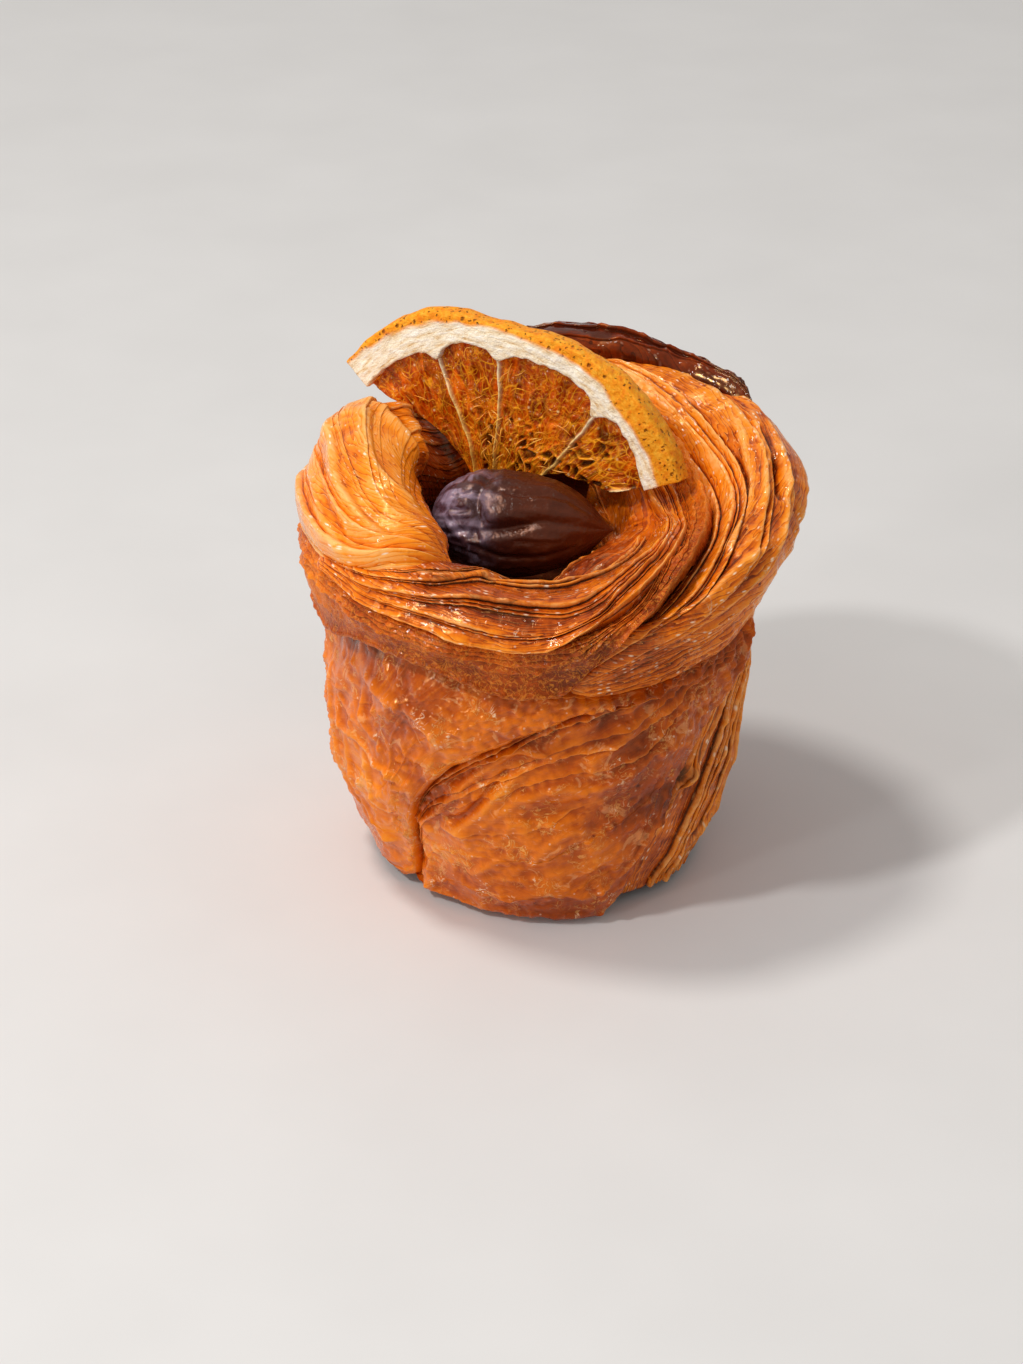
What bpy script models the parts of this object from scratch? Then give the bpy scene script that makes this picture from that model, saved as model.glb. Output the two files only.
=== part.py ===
"""A cruffin: a laminated dough swirl baked in a deep cup, with a dried fruit and a slice of
dried orange set in its open top.

Frame: metres, +Z up, origin at the middle of the foot. The front faces -Y and +X is the
right. Sizes below are in millimetres and are scaled by MM where meshes are made.

The crust is described by rings from the middle of the foot, up the side, over the crest
and down into the hollow. A place on it is (angle, station): the angle is 0 at the front and
90 degrees at the right, and the station is a ring's number, with fractions between rings.
"""

import math

import bmesh
import bpy
import numpy as np

MM = 0.001

# ---- driving dimensions, in millimetres and degrees ----

# Each ring: middle x, middle y, radius, height, and what the height gains at the front and
# at the right, and at front and back together.
RINGS = (
    (0.0, 0.0, 0.0, 0.0, 0.0, 0.0, 0.0),  # 0 middle of the foot
    (0.0, 0.0, 25.0, 0.0, 0.0, 0.0, 0.0),  # 1 edge of the foot
    (-0.5, 0.0, 28.8, 4.0, 0.0, 0.0, 0.0),  # 2 round above the foot
    (-1.3, 0.0, 33.6, 19.0, 0.0, 0.0, 0.0),  # 3 low side
    (-1.8, 0.0, 36.3, 36.0, 0.0, 0.0, 0.0),  # 4 waist
    (-0.8, 0.0, 38.8, 52.0, -1.0, 1.0, 0.0),  # 5 belly
    (0.0, 0.0, 41.8, 64.0, -4.0, 2.0, 0.0),  # 6 widest
    (-0.1, 0.0, 37.4, 73.5, -7.5, -0.5, -1.8),  # 7 shoulder
    (-2.0, -0.5, 27.5, 76.8, -8.5, -1.5, -2.5),  # 8 crest
    (-3.2, -0.2, 18.3, 70.0, -7.5, -1.0, -3.0),  # 9 inner rim
    (-4.0, 0.0, 16.8, 59.0, -2.0, 0.0, 0.0),  # 10 wall of the hollow
    (-4.0, -1.5, 12.0, 53.6, 0.0, 0.0, 0.0),  # 11 edge of the floor
    (-4.0, -1.5, 0.0, 53.0, 0.0, 0.0, 0.0),  # 12 middle of the floor
)
# Dips in the crest, deepest where the slice rests: angle, half width, station, reach, depth.
CREST_DIPS = (
    (-136.0, 28.0, 8.0, 1.9, 12.5),
    (-98.0, 22.0, 7.6, 1.2, 1.8),
    (82.0, 34.0, 8.8, 1.3, 8.0),
    (128.0, 36.0, 7.8, 1.2, 1.6),
)

# Swellings of the side, one for each strand: angle, half width, station, reach, amount.
BULGES = (
    (-78.0, 42.0, 1.8, 1.8, 2.4),
    (-85.0, 40.0, 6.6, 1.2, 1.0),
    (10.0, 34.0, 2.6, 1.4, 1.2),
    (-50.0, 26.0, 4.0, 0.8, 0.8),
    (140.0, 34.0, 2.4, 1.4, 1.2),
    (-145.0, 34.0, 2.6, 1.4, 1.2),
)

PASTRY_SEGMENTS = 84
PASTRY_RINGS = 40
SWIRL_STATIONS = (4.6, 9.8)  # the stretch that gets the closer rings of points
SWIRL_DENSITY = 1.9

# Folds between the strands of dough: depth, half width, and the places they run through.
FOLDS = {
    "collar_left": (2.0, 3.0, ((-200, 5.3), (-150, 5.4), (-100, 5.2), (-50, 5.0), (-3, 4.8))),
    "front_diagonal": (2.0, 3.0, ((-57, 0.9), (-45, 2.8), (-23, 3.8), (11, 4.4), (59, 4.8), (100, 5))),
    "right_pleats": (2.0, 3.0, ((24, 0.9), (27, 2.3), (42, 3.3), (58, 4.5))),
    "back_right": (2.0, 3.0, ((95, 0.9), (110, 2.6), (140, 3.9), (175, 5.2))),
    "back_left": (2.0, 3.0, ((170, 0.9), (185, 2.6), (215, 3.9), (250, 5.1))),
    "shoulder_tuck": (1.6, 3.2, ((-78, 5.8), (-53, 6.3), (-32, 7.4), (-26, 8.6))),
}
FOOT_NOTCHES = ((-57.0, 7.0, 3.0), (36.0, 14.0, 3.0))  # angle, half width, depth
FOLD_SAMPLES = 60

# Swirl ridges on the two upper strands: height, count, and the lower and upper edge as places.
SWIRLS = (
    (
        1.0,
        3,
        ((-200, 5.6), (-110, 5.8), (-53, 6.4), (-34, 7.4)),
        ((-200, 9.6), (-110, 9.6), (-53, 9.2), (-34, 8.4)),
    ),
    (
        1.0,
        4,
        ((-72, 5.3), (-10, 5.0), (59, 5.0), (150, 5.4)),
        ((-72, 5.9), (-29, 7.4), (20, 9.2), (150, 9.6)),
    ),
)

FRUIT_BIG_END = (-18.9, -2.4, 62.7)
FRUIT_POINT = (9.9, -4.6, 61.6)
FRUIT_RADIUS = 9.3
FRUIT_BIG_END_SHARE = 0.36  # where along its length the fruit is thickest
FRUIT_FLATTEN = 0.95
FRUIT_SEAM_DEPTH = 0.7
FRUIT_SEAM_ANGLE = 78.0
FRUIT_SEAM_HALF_WIDTH = 13.0
FRUIT_WRINKLE = 0.25
FRUIT_SEGMENTS = 24
FRUIT_RINGS = 18

SLICE_CENTRE = (-11.0, 6.1, 56.3)
SLICE_YAW = 26.0
SLICE_LEAN = 9.0
SLICE_THICKNESS = 4.6
PULP_RECESS = 1.3
PITH_INNER = 31.2
RIM_ROUND = 0.7
SLICE_INNER = 9.0
# Outer radius at angles round the wheel, 0 pointing right and 90 up.
SLICE_OUTER = ((23, 37.8), (45, 37.8), (65, 36.8), (90, 35.6), (111, 38.0), (139, 37.2))
SLICE_TAPER = 1.4  # how much smaller the peel is at the back of the slice
# The two torn ends: radius and the angle that the end reaches there.
SLICE_LEFT_END = ((9, 113), (16, 121.5), (26.5, 135), (32, 138.5), (39, 139.5))
SLICE_RIGHT_END = ((9, 64), (15, 50), (19, 38), (24, 27), (32, 24.5), (39, 23))
SLICE_STEPS = 32
# Share of the way across the slice at each row of points: close together at the rim.
SLICE_ROWS = (0.0, 0.2, 0.4, 0.58, 0.7, 0.765, 0.8, 0.9, 0.975, 1.0)


# ---- helpers ----


def smooth_path(points, samples):
    """Points evenly spread in parameter along a Catmull-Rom curve through the given ones."""
    points = np.asarray(points, float)
    last = len(points) - 1
    where = np.clip(np.asarray(samples, float), 0.0, last - 1e-9)
    index = np.floor(where).astype(int)
    t = (where - index)[..., None]
    before = points[np.clip(index - 1, 0, last)]
    start, end = points[index], points[index + 1]
    after = points[np.clip(index + 2, 0, last)]
    before = np.where((index == 0)[..., None], 2 * start - end, before)
    after = np.where((index == last - 1)[..., None], 2 * end - start, after)
    cubic = 3 * start - before - 3 * end + after
    square = 2 * before - 5 * start + 4 * end - after
    return 0.5 * (2 * start + (end - before) * t + square * t**2 + cubic * t**3)


def profile(table, x):
    """The value at x of a table of (x, value), eased between its entries."""
    xs, values = np.asarray(table, float).T
    x = np.clip(x, xs[0], xs[-1])
    index = np.clip(np.searchsorted(xs, x, side="right") - 1, 0, len(xs) - 2)
    share = (x - xs[index]) / (xs[index + 1] - xs[index])
    return smooth_path(values[:, None], index + share)[..., 0]


def wrapped(angle, centre):
    """The angle's difference from centre, between -180 and 180 degrees."""
    return (np.asarray(angle) - centre + 180.0) % 360.0 - 180.0


def smoothstep(low, high, x):
    t = np.clip((x - low) / (high - low), 0.0, 1.0)
    return t * t * (3 - 2 * t)


def unit(vectors):
    return vectors / np.linalg.norm(vectors, axis=-1, keepdims=True)


def material(name, colour, roughness):
    """A Principled material, dielectric, with the sub-part's own colour."""
    made = bpy.data.materials.new(name)
    made.use_nodes = True
    shader = made.node_tree.nodes["Principled BSDF"]
    shader.inputs["Base Color"].default_value = (*colour, 1.0)
    shader.inputs["Roughness"].default_value = roughness
    shader.inputs["Metallic"].default_value = 0.0
    return made


def solid(name, mesh_builder, finish, collection):
    """One sub-part: its mesh is closed, faces out and is shaded smooth."""
    bm = bmesh.new()
    mesh_builder(bm)
    bmesh.ops.recalc_face_normals(bm, faces=bm.faces)
    mesh = bpy.data.meshes.new(name)
    bm.to_mesh(mesh)
    bm.free()
    mesh.shade_smooth()
    mesh.materials.append(finish)
    obj = bpy.data.objects.new(name, mesh)
    collection.objects.link(obj)
    return obj


# ---- the pastry ----


def ring_surface(angle, station):
    """The crust without its folds, in millimetres."""
    angle, station = np.broadcast_arrays(np.asarray(angle, float), np.asarray(station, float))
    x, y, radius, z, front, right, pair = np.moveaxis(smooth_path(RINGS, station), -1, 0)
    turn = np.radians(angle)
    z = z + front * np.cos(turn) + right * np.sin(turn) + pair * np.cos(2 * turn)
    for middle, half_width, level, reach, depth in CREST_DIPS:
        away = (wrapped(angle, middle) / half_width) ** 2 + ((station - level) / reach) ** 4
        z = z - depth * np.exp(-away)
    for middle, half_width, level, reach, amount in BULGES:
        away = (wrapped(angle, middle) / half_width) ** 2 + ((station - level) / reach) ** 2
        radius = radius + amount * np.exp(-away) * smoothstep(0.0, 1.0, station)
    return np.stack([x + radius * np.sin(turn), y - radius * np.cos(turn), np.maximum(z, 0.0)], -1)


def ring_normal(angle, station):
    """Outward direction of ring_surface."""
    step_angle, step_station = 0.5, 0.01
    across = ring_surface(angle + step_angle, station) - ring_surface(angle - step_angle, station)
    up = ring_surface(angle, station + step_station) - ring_surface(angle, station - step_station)
    return unit(np.cross(across, up))


def distance_to_path(points, path):
    """Shortest distance from each point to the fold that runs through the places of path."""
    places = smooth_path(path, np.linspace(0, len(path) - 1, FOLD_SAMPLES))
    line = ring_surface(places[:, 0], places[:, 1])
    return np.linalg.norm(points[..., None, :] - line, axis=-1).min(-1)


def relief(angle, station, points):
    """How far the crust stands out from its rings: swirl ridges less the folds."""
    height = np.zeros(np.shape(station))
    for amount, count, lower, upper in SWIRLS:
        start, end = lower[0][0], lower[-1][0]
        turned = start + (angle - start) % 360.0
        low, high = profile(lower, turned), profile(upper, turned)
        share = (station - low) / (high - low)
        inside = smoothstep(0.0, 0.2, share) * smoothstep(1.0, 0.8, share)
        inside = inside * smoothstep(start, start + 12, turned) * smoothstep(end, end - 12, turned)
        inside = inside * smoothstep(0.6 * count, count, high - low)
        height = height + amount * inside * np.cos(2 * math.pi * count * share)
    for depth, half_width, path in FOLDS.values():
        height = height - depth * np.exp(-((distance_to_path(points, path) / half_width) ** 2))
    return height * smoothstep(1.0, 2.0, station) * smoothstep(10.2, 9.4, station)


def pastry_surface(angle, station):
    """The crust with its swirl and folds, standing on a flat foot."""
    points = ring_surface(angle, station)
    height = relief(angle, station, points)
    normal = ring_normal(angle, np.clip(station, 1.2, len(RINGS) - 1.2))
    points = points + height[..., None] * normal
    low = smoothstep(3.2, 1.0, station) * smoothstep(0.0, 1.0, station)
    for middle, half_width, depth in FOOT_NOTCHES:
        cut = depth * low * np.exp(-((wrapped(angle, middle) / half_width) ** 2))
        turn = np.radians(angle)
        points = points - cut[..., None] * np.stack([np.sin(turn), -np.cos(turn), 0 * turn], -1)
    points[..., 2] = np.where(station <= 1.0, 0.0, np.maximum(points[..., 2], 0.0))
    return points


def spread_stations(count):
    """Stations spread along the outline from foot to hollow, closer together on the swirl."""
    fine = np.linspace(0, len(RINGS) - 1, 600)
    outline = ring_surface(np.full(fine.shape, 90.0), fine)
    lengths = np.linalg.norm(np.diff(outline, axis=0), axis=-1)
    low, high = SWIRL_STATIONS
    on_swirl = smoothstep(low - 0.5, low, fine[1:]) * smoothstep(high + 0.5, high, fine[1:])
    lengths = lengths * (1 + (SWIRL_DENSITY - 1) * on_swirl)
    travelled = np.concatenate([[0.0], np.cumsum(lengths)])
    return np.interp(np.linspace(0, travelled[-1], count + 1), travelled, fine)


def build_pastry(bm):
    """A sphere whose parallels become the stations and whose meridians become the angles."""
    bmesh.ops.create_uvsphere(bm, u_segments=PASTRY_SEGMENTS, v_segments=PASTRY_RINGS, radius=1.0)
    start = np.array([vert.co[:] for vert in bm.verts])
    rise = np.degrees(np.arccos(np.clip(-start[:, 2], -1.0, 1.0))) / 180.0 * PASTRY_RINGS
    station = spread_stations(PASTRY_RINGS)[np.round(rise).astype(int)]
    angle = np.degrees(np.arctan2(start[:, 0], -start[:, 1]))
    for vert, place in zip(bm.verts, pastry_surface(angle, station)):
        vert.co = place * MM


# ---- the dried fruit ----


def fruit_radius(share):
    """Radius along the fruit, from its big round end at 0 to its point at 1."""
    thickest = FRUIT_BIG_END_SHARE
    back = np.clip((thickest - share) / thickest, 0.0, 1.0)
    round_end = (1 - back**2.3) ** 0.46
    along = np.clip((share - thickest) / (1 - thickest), 0.0, 1.0)
    pointed_end = (1 - along**2.8) * np.sqrt(1 - along**8)
    return FRUIT_RADIUS * np.where(share < thickest, round_end, pointed_end)


def build_fruit(bm):
    """A sphere drawn out from the big end to the point, with a seam and cross wrinkles."""
    bmesh.ops.create_uvsphere(bm, u_segments=FRUIT_SEGMENTS, v_segments=FRUIT_RINGS, radius=1.0)
    big_end, point = np.array(FRUIT_BIG_END), np.array(FRUIT_POINT)
    along = unit(point - big_end)
    side = unit(np.cross(along, (0.0, 0.0, 1.0)))
    up = np.cross(side, along)
    start = np.array([vert.co[:] for vert in bm.verts])
    share = (start[:, 2] + 1) / 2
    turn = np.arctan2(start[:, 1], start[:, 0])
    radius = fruit_radius(share)
    ends = np.clip(radius / FRUIT_RADIUS, 0.0, 1.0)
    wrinkle = FRUIT_WRINKLE * np.sin(4 * turn + 7 * share) * np.cos(26 * share)
    seam = wrapped(np.degrees(turn), FRUIT_SEAM_ANGLE - 90.0) / FRUIT_SEAM_HALF_WIDTH
    radius = radius + ends * (wrinkle - FRUIT_SEAM_DEPTH * np.exp(-(seam**2)))
    across = (radius * np.cos(turn))[:, None] * side
    above = (radius * FRUIT_FLATTEN * np.sin(turn))[:, None] * up
    places = big_end + share[:, None] * (point - big_end) + across + above
    for vert, place in zip(bm.verts, places):
        vert.co = place * MM


# ---- the orange slice ----


def slice_axes():
    """Right, up and facing directions of the leaning, turned wheel."""
    yaw, lean = math.radians(SLICE_YAW), math.radians(SLICE_LEAN)
    facing = (-math.sin(yaw) * math.cos(lean), -math.cos(yaw) * math.cos(lean), math.sin(lean))
    right = np.array([math.cos(yaw), -math.sin(yaw), 0.0])
    facing = np.array(facing)
    return right, np.cross(facing, right), facing


def slice_point(round_share, across_share, back):
    """A point of the slice: shares run from the right end to the left and from the middle out."""
    right, up, facing = slice_axes()
    middle = 0.5 * (SLICE_OUTER[0][0] + SLICE_OUTER[-1][0])
    radius = SLICE_INNER + across_share * (profile(SLICE_OUTER, middle) - SLICE_INNER)
    turn = profile(SLICE_RIGHT_END, radius) * (1 - round_share)
    turn = turn + profile(SLICE_LEFT_END, radius) * round_share
    outer = profile(SLICE_OUTER, turn) - np.where(back, SLICE_TAPER, 0.0)
    radius = SLICE_INNER + across_share * (outer - SLICE_INNER)
    recess = PULP_RECESS * smoothstep(PITH_INNER + 0.4, PITH_INNER - 0.6, radius)
    recess = np.maximum(recess, RIM_ROUND * smoothstep(outer - 1.2, outer, radius))
    depth = np.where(back, SLICE_THICKNESS - recess, recess)
    turn = np.radians(turn)
    flat = (radius * np.cos(turn))[..., None] * right + (radius * np.sin(turn))[..., None] * up
    return np.array(SLICE_CENTRE) + flat - depth[..., None] * facing


def build_slice(bm):
    """A grid laid over the front of the sector and extruded to its back."""
    rows = len(SLICE_ROWS) - 1
    grid = bmesh.ops.create_grid(bm, x_segments=SLICE_STEPS, y_segments=rows, size=1.0)
    front = list(grid["verts"])
    copied = bmesh.ops.extrude_face_region(bm, geom=bm.faces[:], use_keep_orig=True)
    back = [item for item in copied["geom"] if isinstance(item, bmesh.types.BMVert)]
    for verts, is_back in ((front, False), (back, True)):
        start = np.array([vert.co[:] for vert in verts])
        round_share = (start[:, 0] + 1) / 2
        row = np.round((start[:, 1] + 1) / 2 * rows).astype(int)
        across_share = np.array(SLICE_ROWS)[row]
        for vert, place in zip(verts, slice_point(round_share, across_share, is_back)):
            vert.co = place * MM


# ---- assembly ----


def main():
    for obj in list(bpy.data.objects):
        bpy.data.objects.remove(obj)
    cruffin = bpy.data.collections.new("cruffin")
    bpy.context.scene.collection.children.link(cruffin)
    crust = material("baked_crust", (0.60, 0.23, 0.05), 0.4)
    skin = material("dried_fruit_skin", (0.035, 0.016, 0.014), 0.35)
    peel = material("dried_orange", (0.75, 0.36, 0.04), 0.5)
    solid("pastry", build_pastry, crust, cruffin)
    solid("dark_fruit", build_fruit, skin, cruffin)
    solid("orange_slice", build_slice, peel, cruffin)


main()
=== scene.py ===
"""Looks of the cruffin: flaky strands of baked dough, a dried fruit and a dried orange slice.

The crust follows the same rings as the CAD solid. A place on it is (angle, station): the angle
is 0 at the front and 90 degrees at the right, and the station is a ring's number, from the
middle of the foot, up the side, over the crest and down into the hollow. Lengths are in
millimetres and are scaled by MM where meshes are made.
"""

import math
from types import SimpleNamespace

import bpy
import numpy as np
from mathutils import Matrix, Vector


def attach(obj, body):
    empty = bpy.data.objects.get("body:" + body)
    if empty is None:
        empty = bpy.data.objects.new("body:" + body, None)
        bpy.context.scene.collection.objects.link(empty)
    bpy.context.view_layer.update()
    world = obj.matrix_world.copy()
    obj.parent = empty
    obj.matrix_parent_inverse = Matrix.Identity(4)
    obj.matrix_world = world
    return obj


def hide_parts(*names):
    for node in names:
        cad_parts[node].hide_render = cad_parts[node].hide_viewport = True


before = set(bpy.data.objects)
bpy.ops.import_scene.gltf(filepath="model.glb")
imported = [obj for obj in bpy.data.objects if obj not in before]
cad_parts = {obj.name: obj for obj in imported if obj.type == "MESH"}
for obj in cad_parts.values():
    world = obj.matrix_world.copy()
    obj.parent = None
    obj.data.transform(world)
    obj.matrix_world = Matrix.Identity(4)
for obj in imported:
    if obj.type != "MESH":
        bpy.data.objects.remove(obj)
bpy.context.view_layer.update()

MM = 0.001

# ---- the crust's rings, as in the CAD model ----

# Each ring: middle x, middle y, radius, height, and what the height gains at the front and
# at the right, and at front and back together.
RINGS = (
    (0, 0, 0, 0, 0, 0, 0),  # 0 middle of the foot
    (0, 0, 25, 0, 0, 0, 0),  # 1 edge of the foot
    (-0.5, 0, 28.8, 4, 0, 0, 0),  # 2 round above the foot
    (-1.3, 0, 33.6, 19, 0, 0, 0),  # 3 low side
    (-1.8, 0, 36.3, 36, 0, 0, 0),  # 4 waist
    (-0.8, 0, 38.8, 52, -1, 1, 0),  # 5 belly
    (0, 0, 41.8, 64, -4, 2, 0),  # 6 widest
    (-0.1, 0, 37.4, 73.5, -7.5, -0.5, -1.8),  # 7 shoulder
    (-2, -0.5, 27.5, 76.8, -8.5, -1.5, -2.5),  # 8 crest
    (-3.2, -0.2, 18.3, 70, -7.5, -1, -3),  # 9 inner rim
    (-4, 0, 16.8, 59, -2, 0, 0),  # 10 wall of the hollow
    (-4, -1.5, 12, 53.6, 0, 0, 0),  # 11 edge of the floor
    (-4, -1.5, 0, 53, 0, 0, 0),  # 12 middle of the floor
)
# Dips in the crest: angle, half width, station, reach, depth.
CREST_DIPS = (
    (-136, 28, 8, 1.9, 12.5),
    (-98, 22, 7.6, 1.2, 1.8),
    (82, 34, 8.8, 1.3, 8),
    (128, 36, 7.8, 1.2, 1.6),
)
# Swellings of the side: angle, half width, station, reach, amount.
BULGES = (
    (-78, 42, 1.8, 1.8, 2.4),
    (-85, 40, 6.6, 1.2, 1),
    (10, 34, 2.6, 1.4, 1.2),
    (-50, 26, 4, 0.8, 0.8),
    (140, 34, 2.4, 1.4, 1.2),
    (-145, 34, 2.6, 1.4, 1.2),
)

# ---- the strands of dough ----

# What a strand has where its own entry doesn't say otherwise.
PLAIN_STRAND = {
    "lean": -1,  # -1 where the layers overhang the side of the lower edge, 1 the upper one
    "lumps": 0.6, "veins": 0.1, "dimples": 0.0, "grain": 0.03,  # relief of the skin
    "blisters": 0,  # number of small round bubbles
    "ragged": 0.3, "fray": 1.0,  # how uneven the lower edge and the layers' edges are
    "flare": 0.0,  # how far the lower edge stands off
    "rim": 0.0,  # painted highlight along the lower edge: how bright it is
    "toast": 0.5,  # 0 pale, 1 nearly black
    "tuck_shade": 0.0,  # painted shade: how much darker, and how much duller, it gets towards the upper edge
    "contrast": 1.0,  # strength of the mottling
    "gloss": 1.0,  # 0 dull, 1 glazed
    "lined": 0.7,  # 1 where fine layers show, 0 for smooth skin
    "curls": 0.0,  # 1 for dry skin with curled bubbles
}
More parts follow.
